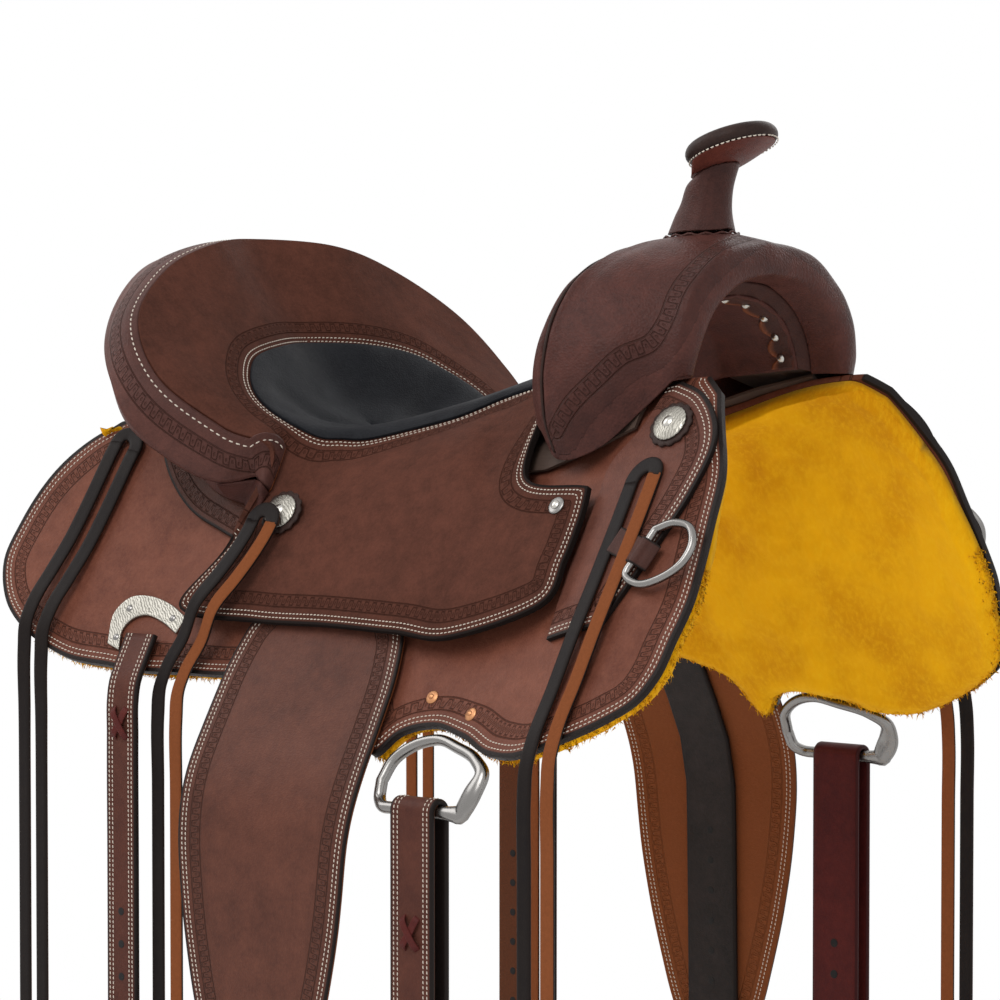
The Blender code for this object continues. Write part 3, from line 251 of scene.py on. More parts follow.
@dataclass
class HorseSide:
    """The side of the horse's back, on which most of the leather lies."""

    stations: Sequence[float] = (-0.380, -0.290, -0.160, -0.050, 0.060, 0.150, 0.240, 0.320)
    ridge: Sequence[float] = (0.074, 0.060, 0.012, 0.004, 0.018, 0.050, 0.108, 0.158)
    top_slope: Sequence[float] = (0, 0, 0, 0, 0, 6, 16, 36)
    low_slope: Sequence[float] = (64, 62.5, 61, 60.5, 60, 59.5, 60, 61)
    turn_start: Sequence[float] = (0.046, 0.042, 0.064, 0.062, 0.054, 0.034, 0.016, 0.0)
    turn_length: Sequence[float] = (0.150, 0.140, 0.105, 0.100, 0.105, 0.120, 0.150, 0.215)
    steps: int = 32
    near: float = 0.004

    def point(self, x: Array, s: Array, off: Array | float = 0.0) -> Array:
        """A point of the left side.

        Args:
            x: forward, in metres.
            s: down from the ridge along the surface.
            off: out from the surface.

        Returns:
            The points in space.
        """
        x, s, off = np.broadcast_arrays(*(np.asarray(v, float) for v in (x, s, off)))
        top = np.radians(through(self.stations, self.top_slope, x))[..., None]
        low = np.radians(through(self.stations, self.low_slope, x))[..., None]
        start = through(self.stations, self.turn_start, x)[..., None]
        turn = through(self.stations, self.turn_length, x)[..., None]
        y, down, end = fallen(s, self.steps, lambda at: top + (low - top) * ease((at - start) / turn))
        z = through(self.stations, self.ridge, x) - down
        return np.stack([x, y + off * np.sin(end), z + off * np.cos(end)], -1)

    def out(self, x: float, s: float, off: float = 0.0) -> Array:
        """The direction out of the surface at a place, so far out from it."""
        p = self.point(x, s, off)
        return unit(np.cross(self.point(x + self.near, s, off) - p, self.point(x, s + self.near, off) - p))


SIDE = HorseSide()


# Shader maths

Operator = Callable[["Value", object], "Value"]


def operators(operation: str) -> tuple[Operator, Operator]:
    """The two methods that stand for one operation, with the value first and with it second.

    Args:
        operation: the maths node's operation.

    Returns:
        The method and the one turned round.
    """
    def straight(self: "Value", other: object) -> "Value":
        """The value, then the other."""
        return self._with(operation, self, other)

    def turned(self: "Value", other: object) -> "Value":
        """The other, then the value."""
        return self._with(operation, other, self)

    return straight, turned


class Value:
    """A number that varies over a surface: a socket with the operators of arithmetic."""

    def __init__(self, shader: "Shader", socket: bpy.types.NodeSocket) -> None:
        """Wrap a socket of a shader."""
        self.shader, self.socket = shader, socket

    def _with(self, operation: str, a: object, b: object, clamp: bool = False) -> "Value":
        """A maths node on two values."""
        return self.shader.node("ShaderNodeMath", {"operation": operation, "use_clamp": clamp}, {0: a, 1: b})

    __add__, __radd__ = operators("ADD")
    __sub__, __rsub__ = operators("SUBTRACT")
    __mul__, __rmul__ = operators("MULTIPLY")
    __truediv__, __rtruediv__ = operators("DIVIDE")
    __gt__ = operators("GREATER_THAN")[0]

    def apply(self, operation: str, other: object = 0.0) -> "Value":
        """Any other maths operation."""
        return self._with(operation, self, other)

    def near(self, place: float, half: float, soft: float) -> "Value":
        """One within half of a place, falling to nothing over the soft width."""
        away = (self - place).apply("ABSOLUTE")
        return self._with("MULTIPLY", (half + soft) - away, 1 / soft, clamp=True)

    def soft_step(self, low: float, high: float) -> "Value":
        """From 0 at low to 1 at high."""
        return self._with("MULTIPLY", self - low, 1 / (high - low), clamp=True)


# On a node that mixes colours: the inputs of the share and the two colours, and the output of the result.
MIX_SOCKETS: tuple[int, ...] = (0, 6, 7, 2)


class Shader:
    """A material's or the world's node tree, with one method that adds any node."""

    def __init__(self, owner: bpy.types.Material | bpy.types.World) -> None:
        """Start the owner's nodes.

        Args:
            owner: the material or the world.
        """
        owner.use_nodes = True
        self.owner, self.tree = owner, owner.node_tree
        self.main = self.tree.nodes.get("Principled BSDF")

    def node(self, kind: str, settings: dict | None = None, sockets: dict | None = None, out: object = 0) -> Value:
        """Add a node.

        Args:
            kind: the node's type.
            settings: its settings, set before its sockets; stops are a ramp's places and colours.
            sockets: its inputs, each a number, a colour or a Value.
            out: the output wanted.

        Returns:
            That output.
        """
        made = self.tree.nodes.new(kind)
        for key, value in (settings or {}).items():
            if key == "stops":
                elements = made.color_ramp.elements
                while len(elements) < len(value):
                    elements.new(0.5)
                for element, (place, colour) in zip(elements, value):
                    element.position, element.color = place, (*colour, 1)
            else:
                setattr(made, key, value)
        for key, value in (sockets or {}).items():
            self.feed(made.inputs[key], value)
        return Value(self, made.outputs[out])

    def feed(self, socket: bpy.types.NodeSocket, value: object) -> None:
        """Link or set one input.

        Args:
            socket: the input.
            value: a number, a colour or a Value.
        """
        if isinstance(value, Value):
            self.tree.links.new(value.socket, socket)
        elif isinstance(value, (tuple, list)) and len(value) == 3 and socket.type == "RGBA":
            socket.default_value = (*value, 1)
        else:
            socket.default_value = value

    def set(self, **sockets: object) -> None:
        """Set or link inputs of the main shader by name, with _ for each space."""
        for key, value in sockets.items():
            self.feed(self.main.inputs[key.replace("_", " ")], value)

    def place(self) -> Value:
        """The place in the object, in metres."""
        return self.node("ShaderNodeTexCoord", out="Object")

    def noise(self, scale: float, detail: float = 3.0, rough: float = 0.5, stretch: tuple | None = None) -> Value:
        """Cloudy variation from 0 to 1, with so many features a metre.

        Args:
            scale: features a metre.
            detail: how many finer layers it has.
            rough: how strong they are.
            stretch: how much closer it lies along each axis.

        Returns:
            The variation.
        """
        place = self.place()
        if stretch:
            place = self.node("ShaderNodeVectorMath", {"operation": "MULTIPLY"}, {0: place, 1: stretch})
        return self.node(
            "ShaderNodeTexNoise", {}, {"Vector": place, "Scale": scale, "Detail": detail, "Roughness": rough}
        )

    def cells(self, scale: float, feature: str = "F1") -> Value:
        """Distance within irregular cells, with so many a metre.

        Args:
            scale: cells a metre.
            feature: which distance is measured.

        Returns:
            The distance.
        """
        return self.node(
            "ShaderNodeTexVoronoi", {"feature": feature}, {"Vector": self.place(), "Scale": scale}, "Distance"
        )

    def written(self, name: str) -> Value:
        """A number stored on the mesh."""
        return self.node("ShaderNodeAttribute", {"attribute_name": name}, out="Fac")

    def mix(self, share: object, one: object, two: object) -> Value:
        """A colour between two colours.

        Args:
            share: 0 for the first and 1 for the second.
            one: the first colour.
            two: the second colour.

        Returns:
            The colour.
        """
        share_at, one_at, two_at, result = MIX_SOCKETS
        return self.node("ShaderNodeMix", {"data_type": "RGBA"}, {share_at: share, one_at: one, two_at: two}, result)

    def bump(self, height: Value, strength: float, distance: float, under: Value | None = None) -> Value:
        """A bumped normal from a height in units of the distance.

        Args:
            height: the height.
            strength: how far it tilts the normal.
            distance: the height's unit, in metres.
            under: the normal that it starts from, if any.

        Returns:
            The normal.
        """
        sockets: dict = {"Height": height, "Strength": strength, "Distance": distance}
        if under is not None:
            sockets["Normal"] = under
        return self.node("ShaderNodeBump", {}, sockets)


# Finishes

Colour = tuple[float, float, float]


def darker(colour: Colour, share: float) -> Colour:
    """A colour brought down to a share of itself."""
    return tuple(c * share for c in colour)


@dataclass(frozen=True)
class Finish:
    """A named finish whose material is made once."""

    name: str

    def material(self) -> bpy.types.Material:
        """The material, made once.

        Returns:
            The material.
        """
        made = bpy.data.materials.get(self.name)
        if made is None:
            made = bpy.data.materials.new(self.name)
            self.dress(Shader(made))
        return made

    def dress(self, shader: Shader) -> None:
        """Set up the material's nodes."""
        raise NotImplementedError


@dataclass(frozen=True)
class ToolBand:
    """A tooled serpentine band beside an edge, between two cut lines."""

    start: float = 0.0128
    width: float = 0.0102
    pitch: float = 0.0080
    swing: float = 0.33
    square: float = 3.2

    def cut(self, shader: Shader, edge: Value, run: Value) -> tuple[Value, Value]:
        """The cut lines and the field between them.

        Args:
            shader: the material being made.
            edge: metres in from the edge.
            run: metres along it.

        Returns:
            A mask of the cut lines and a mask of the whole band.
        """
        across = (edge - self.start) / self.width
        turn = run * (2 * math.pi / self.pitch)
        swing = (turn.apply("SINE") * self.square).apply("TANH")
        slope = (1 - swing * swing) * turn.apply("COSINE") * (
            self.swing * self.square * 2 * math.pi * self.width / self.pitch)
        away = ((across - 0.5) - swing * self.swing).apply("ABSOLUTE") * self.width
        away = away / (1 + slope * slope).apply("SQRT")
        inside = across.near(0.5, 0.5, 0.05)
        border = across.near(0.0, 0.02, 0.05).apply("MAXIMUM", across.near(1.0, 0.02, 0.05))
        meander = away.near(0.0, 0.00016, 0.00050) * inside
        along = ((run * (2 / self.pitch)).apply("FRACT") - 0.5) * (self.pitch / 2)
        aside = (across - 0.5) * self.width * 0.45
        seed = (along * along + aside * aside).apply("SQRT").near(0.0, 0.0005, 0.0004)
        lines = border.apply("MAXIMUM", meander).apply("MAXIMUM", seed * 0.6)
        return lines, inside


@dataclass(frozen=True)
class Leather(Finish):
    """Oiled leather: grain, cloudy dye, burnished edge and an optional tooled band."""

    colour: Colour
    deep: Colour
    edge_colour: Colour = (0.014, 0.010, 0.009)
    rough: float = 0.46
    grain: float = 0.5
    grain_scale: float = 800.0
    edge_width: float = 0.0016
    band: ToolBand | None = None
    cut_colour: Colour = (0.043, 0.016, 0.010)
    flesh: Colour | None = None
    shine: float = 0.10
    burnish: float = 0.034

    def dress(self, shader: Shader) -> None:
        """Set up the material's nodes.

        Args:
            shader: the material being made.
        """
        cloud = shader.noise(11.0, 6.0, 0.62)
        fine = shader.noise(70.0, 5.0, 0.68)
        speck = shader.noise(420.0, 4.0, 0.75)
        share = (cloud - 0.5) * 1.7 + (fine - 0.5) * 1.7 + (speck - 0.5) * 1.3 + 0.46
        share = share.apply("MAXIMUM", 0.0).apply("MINIMUM", 1.0)
        colour = shader.mix(share, self.colour, self.deep)
        pores = shader.cells(self.grain_scale)
        creases = shader.noise(self.grain_scale * 0.42, 4.0, 0.7)
        height = pores * 0.55 + creases * 0.8
        edge = shader.written("edge")
        rough = shader.noise(30.0, 4.0, 0.6) * 0.16 + (self.rough - 0.08)
        normal = shader.bump(height, 0.46 * self.grain, 0.0012)
        if self.band:
            lines, inside = self.band.cut(shader, edge, shader.written("run"))
            worn = shader.mix(inside * 0.45, colour, darker(self.colour, 0.72))
            colour = shader.mix(lines * 0.74, worn, self.cut_colour)
            rough = rough + lines * 0.12
            normal = shader.bump(inside * 0.25 - lines, 0.9, 0.0011, normal)
        burnt = 1 - edge.soft_step(0.0, self.burnish)
        colour = shader.mix(burnt * 0.38, colour, darker(self.deep, 0.62))
        rubbed = 1 - edge.soft_step(self.edge_width, self.edge_width + 0.0012)
        colour = shader.mix(rubbed, colour, self.edge_colour)
        if self.flesh:
            back = shader.written("back") > 0.5
            suede = shader.mix(shader.noise(420.0, 4.0, 0.75), self.flesh, darker(self.flesh, 0.62))
            colour = shader.mix(back, colour, suede)
            rough = rough + back * 0.4
        shader.set(Base_Color=colour, Roughness=rough, Normal=normal, Specular_IOR_Level=self.shine)


@dataclass(frozen=True)
class Metal(Finish):
    """Polished metal with faint scratches and optional engraving."""

    colour: Colour
    rough: float = 0.24
    engraved: float = 0.0
    engrave_scale: float = 260.0

    def dress(self, shader: Shader) -> None:
        """Set up the material's nodes.

        Args:
            shader: the material being made.
        """
        haze = shader.noise(60.0, 4.0, 0.6)
        scratch = shader.noise(700.0, 2.0, 0.7, (1.0, 0.12, 1.0))
        colour = shader.mix(haze * 0.5, self.colour, darker(self.colour, 0.72))
        normal = shader.bump(scratch, 0.05, 0.0004)
        rough = haze * 0.16 + (self.rough - 0.06)
        if self.engraved:
            swirl = shader.node(
                "ShaderNodeTexWave", {"wave_type": "RINGS", "rings_direction": "SPHERICAL"},
                {"Vector": shader.place(), "Scale": self.engrave_scale * 0.62, "Distortion": 7.0, "Detail": 2.5,
                 "Detail Scale": 1.6}, "Fac",
            )
            lines = swirl.soft_step(0.58, 0.74)
            colour = shader.mix(lines * 0.42, colour, darker(self.colour, 0.25))
            normal = shader.bump(1 - lines, 0.4, 0.0006, normal)
            rough = rough + lines * 0.25
        shader.set(Base_Color=colour, Roughness=rough, Metallic=1.0, Normal=normal)


@dataclass(frozen=True)
class Wool(Finish):
    """Golden fleece: clumps, with painted shade in the hollows between them."""

    name: str = "golden_fleece"
    colour: Colour = (0.880, 0.440, 0.005)
    # The painted shade colour of the hollows between the clumps.
    deep: Colour = (0.660, 0.280, 0.004)
    tip: Colour = (0.920, 0.540, 0.016)

    def dress(self, shader: Shader) -> None:
        """Set up the material's nodes.

        Args:
            shader: the material being made.
        """
        clump = shader.noise(16.0, 4.0, 0.55, (1.0, 1.0, 0.6))
        strand = shader.noise(300.0, 5.0, 0.7, (1.0, 1.0, 0.30))
        # Painted shade: where the clump noise is low, which the bump below sinks into hollows, the colour goes to the
        # deep tone.
        colour = shader.mix(clump.soft_step(0.34, 0.62), self.deep, self.colour)
        colour = shader.mix(strand.soft_step(0.45, 0.8) * 0.6, colour, self.tip)
        normal = shader.bump(clump, 0.35, 0.008)
        normal = shader.bump(strand, 0.45, 0.0014, normal)
        shader.set(Base_Color=colour, Roughness=0.95, Normal=normal, Sheen_Weight=0.3, Sheen_Roughness=0.5)
        shader.set(Sheen_Tint=(1.0, 0.70, 0.15), Specular_IOR_Level=0.04)


@dataclass(frozen=True)
class Plain(Finish):
    """A fine, slightly uneven finish for thread, wood and rubber."""

    colour: Colour
    deep: Colour
    rough: float = 0.7
    scale: float = 300.0
    bump: float = 0.3
    stretch: tuple[float, float, float] = (1.0, 1.0, 1.0)

    def dress(self, shader: Shader) -> None:
        """Set up the material's nodes.

        Args:
            shader: the material being made.
        """
        fine = shader.noise(self.scale, 4.0, 0.65, self.stretch)
        colour = shader.mix(fine, self.colour, self.deep)
        rough = fine * 0.15 + (self.rough - 0.07)
        shader.set(Base_Color=colour, Roughness=rough, Normal=shader.bump(fine, self.bump, 0.0008))


BAND = ToolBand()
SEAT_LEATHER = Leather("seat_leather_brown", (0.125, 0.045, 0.030), (0.067, 0.026, 0.018), band=BAND, grain=0.8,
                       rough=0.72, shine=0.04)
REAR_LEATHER = Leather("rear_jockey_leather_brown", (0.125, 0.045, 0.030), (0.067, 0.026, 0.018), grain=0.8,
                       band=ToolBand(start=0.0060))
SKIRT_LEATHER = Leather("skirt_edge_bound_leather", (0.207, 0.071, 0.043), (0.122, 0.038, 0.023), band=BAND, grain=0.6,
                        edge_width=0.0026)
LEAF_LEATHER = Leather("leaf_leather_brown", (0.176, 0.065, 0.044), (0.102, 0.038, 0.027), grain=0.7,
                       band=ToolBand(start=0.0118, width=0.0095, pitch=0.0080), edge_width=0.0020)
PLAIN_WARM = Leather("strap_leather_brown", (0.127, 0.043, 0.028), (0.075, 0.025, 0.018), grain=0.6,
                     flesh=(0.135, 0.048, 0.024))
ROLL_LEATHER = Leather("roll_leather_brown", (0.125, 0.051, 0.041), (0.071, 0.031, 0.026), grain=0.8,
                       edge_width=-1.0, band=ToolBand(start=0.0150, width=0.0120, pitch=0.0092),
                       flesh=(0.426, 0.135, 0.048))
SWELL_LEATHER = Leather("swell_leather_brown", (0.105, 0.038, 0.030), (0.051, 0.021, 0.018), grain=1.2,
                        grain_scale=560.0, edge_width=-1.0, rough=0.40,
                        band=ToolBand(start=0.0, width=0.0130, pitch=0.0100))
SWELL_PLAIN = Leather("cantle_back_leather_brown", SWELL_LEATHER.colour, SWELL_LEATHER.deep, grain=1.0, edge_width=-1.0)
GULLET_EDGE = Leather("scalloped_edge_leather", (0.085, 0.035, 0.028), (0.051, 0.024, 0.020), grain=0.8,
                      edge_colour=(0.213, 0.071, 0.034), edge_width=0.0004)
HORN_LEATHER = Leather("horn_leather_brown", (0.094, 0.037, 0.030), (0.051, 0.023, 0.020), grain=1.0,
                       edge_width=-1.0, rough=0.40)
CAP_LEATHER = Leather("horn_cap_leather", (0.048, 0.026, 0.021), (0.026, 0.016, 0.014), edge_width=-1.0, rough=0.44)
BLACK_LEATHER = Leather("inlay_leather_black", (0.016, 0.017, 0.020), (0.007, 0.007, 0.009), rough=0.55, grain=0.9,
                        edge_width=-1.0, shine=0.06)
STRAP_BLACK = Leather("strap_leather_black", (0.037, 0.028, 0.026), (0.017, 0.014, 0.013), rough=0.5)
OXBLOOD = Leather("latigo_leather", (0.111, 0.017, 0.014), (0.060, 0.010, 0.010), rough=0.40, grain=0.35,
                  edge_colour=(0.037, 0.007, 0.007), edge_width=0.0010)
UNDER_CAP = Leather("cap_underside_leather", (0.177, 0.045, 0.030), (0.099, 0.028, 0.021), edge_width=-1.0)
FENDER_LEATHER = Leather("fender_leather_brown", (0.136, 0.050, 0.033), (0.080, 0.030, 0.021), band=BAND, grain=0.7,
                         flesh=(0.241, 0.074, 0.026))
THONG_LEATHER = Leather("string_leather_black", (0.018, 0.013, 0.011), (0.010, 0.007, 0.007), rough=0.5, grain=0.3,
                        edge_width=0.0006, flesh=(0.275, 0.084, 0.029))
CHAPE_LEATHER = Leather("chape_leather", (0.099, 0.040, 0.031), (0.057, 0.026, 0.021), grain=0.5, edge_width=0.0008)
RED_THONG = Leather("lace_leather", (0.142, 0.026, 0.020), (0.071, 0.014, 0.013), rough=0.5, edge_width=-1.0)
FLEECE = Wool()
# Painted shade: the steel's colour is set well below bright steel, to stand in for the dark reflections it would show
# in darker surroundings.
SHADED_STEEL = Metal("ring_steel", (0.25, 0.24, 0.23), 0.24)
SILVER = Metal("engraved_silver", (0.40, 0.38, 0.335), 0.34, engraved=1.0)
TACK_METAL = Metal("tack_nickel", (0.50, 0.48, 0.44), 0.28)
COPPER = Metal("rivet_copper", (0.52, 0.25, 0.12), 0.38)
THREAD = Plain("white_thread", (0.80, 0.72, 0.62), (0.60, 0.51, 0.42), 0.8, 2200.0, 0.2)
RUBBER = Plain("tread_rubber", (0.022, 0.022, 0.022), (0.014, 0.014, 0.014), 0.85, 900.0, 0.4)
TREE_WOOD = Plain("tree_wood_stained", (0.070, 0.038, 0.024), (0.040, 0.022, 0.015), 0.8, 60.0, 0.3, (1.0, 8.0, 8.0))
# Painted shade: near black, for the flat patches that stand for punched holes.
HOLE_SHADE = Plain("punched_hole", (0.006, 0.005, 0.005), (0.004, 0.003, 0.003), 0.9)
STIRRUP_WOOD = Plain("stirrup_wood", (0.36, 0.20, 0.095), (0.23, 0.115, 0.050), 0.5, 46.0, 0.25, (9.0, 9.0, 1.0))


# Meshes

@dataclass
class Grid:
    """A surface as a grid of points with what is known at each of them."""

    points: Array
    edge: Array | None = None
    run: Array | None = None
    outward: int = 1
    normals: Array = field(init=False)

    def __post_init__(self) -> None:
        """Work out the normals."""
        along = np.gradient(self.points, axis=0)
        across = np.gradient(self.points, axis=1)
        self.normals = np.cross(along, across) * self.outward
        self.normals[np.abs(self.points[..., 1]) < 1e-7, 1] = 0
        self.normals = unit(self.normals)
        if self.edge is None:
            self.edge = np.full(self.points.shape[:2], 0.1)
        if self.run is None:
            self.run = np.zeros(self.points.shape[:2])

    def across_middle(self) -> "Grid":
        """The grid joined to its mirror image over its first column.

        Returns:
            The whole grid.
        """
        def both(v: Array, turn: tuple | None = None) -> Array:
            """A field for both halves."""
            other = v[:, :0:-1] * turn if turn else v[:, :0:-1]
            return np.concatenate([other, v], axis=1)
        return Grid(both(self.points, (1, -1, 1)), both(self.edge), both(self.run), self.outward)

    def on(self, hand: int) -> "Grid":
        """The grid on the side wanted.

        Args:
            hand: 1 for left, -1 for right.

        Returns:
            The grid.
        """
        if hand > 0:
            return self
        return Grid(self.points * (1, -1, 1), self.edge, self.run, -self.outward)

    def lifted(self, off: float | Array) -> Array:
        """The points moved out along their normals."""
        return self.points + self.normals * np.asarray(off)[..., None]

    def contour(self, level: float, off: float) -> list[tuple[Array, Array]]:
        """Lines on the surface at a distance from its edge.

        Args:
            level: the distance.
            off: how far out from the grid the lines lie.

        Returns:
            The lines, each as points and normals.
        """
        f, p = self.edge - level, self.lifted(off)
        crossing: dict[tuple, tuple] = {}

        def cut(a: tuple[int, int], b: tuple[int, int]) -> tuple | None:
            """The crossing of one grid edge.

            Args:
                a: the grid point at one end.
                b: the grid point at the other.

            Returns:
                What names the crossing, or none.
            """
            key = (a, b)
            if key in crossing:
                return key
            fa, fb = f[a], f[b]
            if (fa > 0) == (fb > 0) or abs(fa - fb) > 0.03:
                return None
            t = fa / (fa - fb)
            crossing[key] = (p[a] * (1 - t) + p[b] * t, self.normals[a] * (1 - t) + self.normals[b] * t)
            return key

        s = f > 0
        mixed = (s[:-1, :-1] != s[1:, :-1]) | (s[:-1, :-1] != s[:-1, 1:]) | (s[1:, 1:] != s[:-1, 1:]) | (
            s[1:, 1:] != s[1:, :-1])
        links: dict[tuple, list] = {}
        for i, j in np.argwhere(mixed):
            i, j = int(i), int(j)
            sides = [cut((i, j), (i + 1, j)), cut((i, j + 1), (i + 1, j + 1)), cut((i, j), (i, j + 1)),
                     cut((i + 1, j), (i + 1, j + 1))]
            found = [k for k in sides if k]
            for a, b in ([(found[0], found[1])] if len(found) == 2 else
                         [(found[0], found[2]), (found[1], found[3])] if len(found) == 4 else []):
                links.setdefault(a, []).append(b)
                links.setdefault(b, []).append(a)
        lines = []
        left = set(links)
        while left:
            start = next((k for k in left if len(links[k]) == 1), None) or next(iter(left))
            line, here = [start], start
            left.discard(start)
            while True:
                step = next((k for k in links[here] if k in left), None)
                if step is None:
                    break
                line.append(step)
                left.discard(step)
                here = step
            if len(line) > 6:
                got = [crossing[k] for k in line]
                lines.append((np.array([g[0] for g in got]), unit(np.array([g[1] for g in got]))))
        return lines

    def shell(self, name: str, high: float | Array, low: float | Array, finish: Finish, bevel: float = 0.0012,
              weld: bool = False) -> bpy.types.Object:
        """A closed sheet between two offsets of the grid, with rounded edges.

        Args:
            name: the piece's name.
            high: the outer face's offset.
            low: the inner face's offset.
            finish: its finish.
            bevel: the rounding of its edges.
            weld: whether its first row lies on the middle plane, where its two halves join.

        Returns:
            The piece.
        """
        rows, columns = self.points.shape[:2]
        count = rows * columns
        verts = np.concatenate([self.lifted(high).reshape(-1, 3), self.lifted(low).reshape(-1, 3)])
        index = np.arange(count).reshape(rows, columns)
        a, b, c, d = index[:-1, :-1], index[1:, :-1], index[1:, 1:], index[:-1, 1:]
        quads = np.stack([a, b, c, d], -1).reshape(-1, 4)
        if self.outward < 0:
            quads = quads[:, ::-1]
        rim = np.concatenate([index[0, :], index[1:, -1], index[-1, -2::-1], index[-2:0:-1, 0]])
        walls = np.stack([rim, np.roll(rim, -1), np.roll(rim, -1) + count, rim + count], -1)
        if weld:
            walls = walls[columns - 1:]
        if self.outward < 0:
            walls = walls[:, ::-1]
        faces = [tuple(map(int, q)) for q in np.concatenate([quads, (quads + count)[:, ::-1], walls])]
        edge = np.concatenate([self.edge.ravel()] * 2)
        run = np.concatenate([self.run.ravel()] * 2)
        back = np.concatenate([np.zeros(count), np.ones(count)])
        item = piece(name, verts, faces, finish, {"edge": edge, "run": run, "back": back})
        if weld:
            shape = bmesh.new()
            shape.from_mesh(item.data)
            doubles = [v for v in shape.verts if abs(v.co.y) < 1e-6]
            bmesh.ops.remove_doubles(shape, verts=doubles, dist=1e-5)
            shape.to_mesh(item.data)
            shape.free()
        if bevel:
            mod = item.modifiers.new("rounded", "BEVEL")
            mod.limit_method, mod.angle_limit = "ANGLE", math.radians(55)
            mod.width, mod.segments = bevel, 3
        return item


def faced(points: Array, edge: Array | None = None, run: Array | None = None,
          inner: Sequence[float] = (0.0, 0.0, -0.20)) -> Grid:
    """A grid that faces away from a place inside the saddle.

    Args:
        points: the grid's points.
        edge: the distance from its edge at each.
        run: the distance along its edge at each.
        inner: the place it faces away from.

    Returns:
        The grid.
    """
    made = Grid(points, edge, run)
    away = (made.normals * (points - np.array(inner))).sum()
    return made if away >= 0 else Grid(points, edge, run, -1)


def piece(name: str, verts: Array, faces: Sequence, finish: Finish, values: dict | None = None,
          smooth: bool = True) -> bpy.types.Object:
    """A mesh object with its finish and stored numbers.

    Args:
        name: the piece's name.
        verts: its points.
        faces: its faces.
        finish: the finish whose material it gets.
        values: numbers stored at its points, by name.
        smooth: whether its faces are shaded smooth.

    Returns:
        The object, linked to the scene.
    """
    mesh = bpy.data.meshes.new(name)
    mesh.from_pydata([tuple(map(float, v)) for v in verts], [], faces)
    if smooth:
        mesh.shade_smooth()
    for key in ("edge", "run", "back"):
        stored = (values or {}).get(key)
        if stored is None:
            stored = np.full(len(verts), 0.1 if key == "edge" else 0.0)
        layer = mesh.attributes.new(key, "FLOAT", "POINT")
        layer.data.foreach_set("value", np.asarray(stored, np.float32))
    mesh.materials.append(finish.material())
    item = bpy.data.objects.new(name, mesh)
    bpy.context.scene.collection.objects.link(item)
    return item


def turned_out(item: bpy.types.Object) -> bpy.types.Object:
    """The object with its faces turned outwards.

    Args:
        item: the object.

    Returns:
        The same object.
    """
    shape = bmesh.new()
    shape.from_mesh(item.data)
    bmesh.ops.recalc_face_normals(shape, faces=shape.faces)
    shape.to_mesh(item.data)
    shape.free()
    return item


def loft(name: str, rings: Sequence, finish: Finish, closed: bool = False, values: dict | None = None,
         smooth: bool = True) -> bpy.types.Object:
    """A tube through rings of equal counts, with flat ends unless it is closed.

    Args:
        name: the piece's name.
        rings: the rings, each a list of points.
        finish: its finish.
        closed: whether its last ring joins its first.
        values: numbers stored at its points, by name.
        smooth: whether its faces are shaded smooth.

    Returns:
        The piece.
    """
    made = np.asarray(rings, float)
    count, sides = made.shape[:2]
    faces = []
    for i in range(count if closed else count - 1):
        for j in range(sides):
            k, n = (j + 1) % sides, (i + 1) % count
            faces.append((i * sides + j, i * sides + k, n * sides + k, n * sides + j))
    if not closed:
        faces += [tuple(range(sides - 1, -1, -1)), tuple((count - 1) * sides + j for j in range(sides))]
    return turned_out(piece(name, made.reshape(-1, 3), faces, finish, values, smooth))


# Along a stitch, its thickness and how far it stands out, each as a share.
STITCH_RINGS: tuple = ((-1.0, 0.25, -0.35), (-0.72, 0.8, 0.15), (0.0, 1.0, 0.42), (0.72, 0.8, 0.15),
                       (1.0, 0.25, -0.35))
STITCH_SIDES = 5
# Samples a stitch, of which the last is the gap before the next.
STITCH_SAMPLES = 4


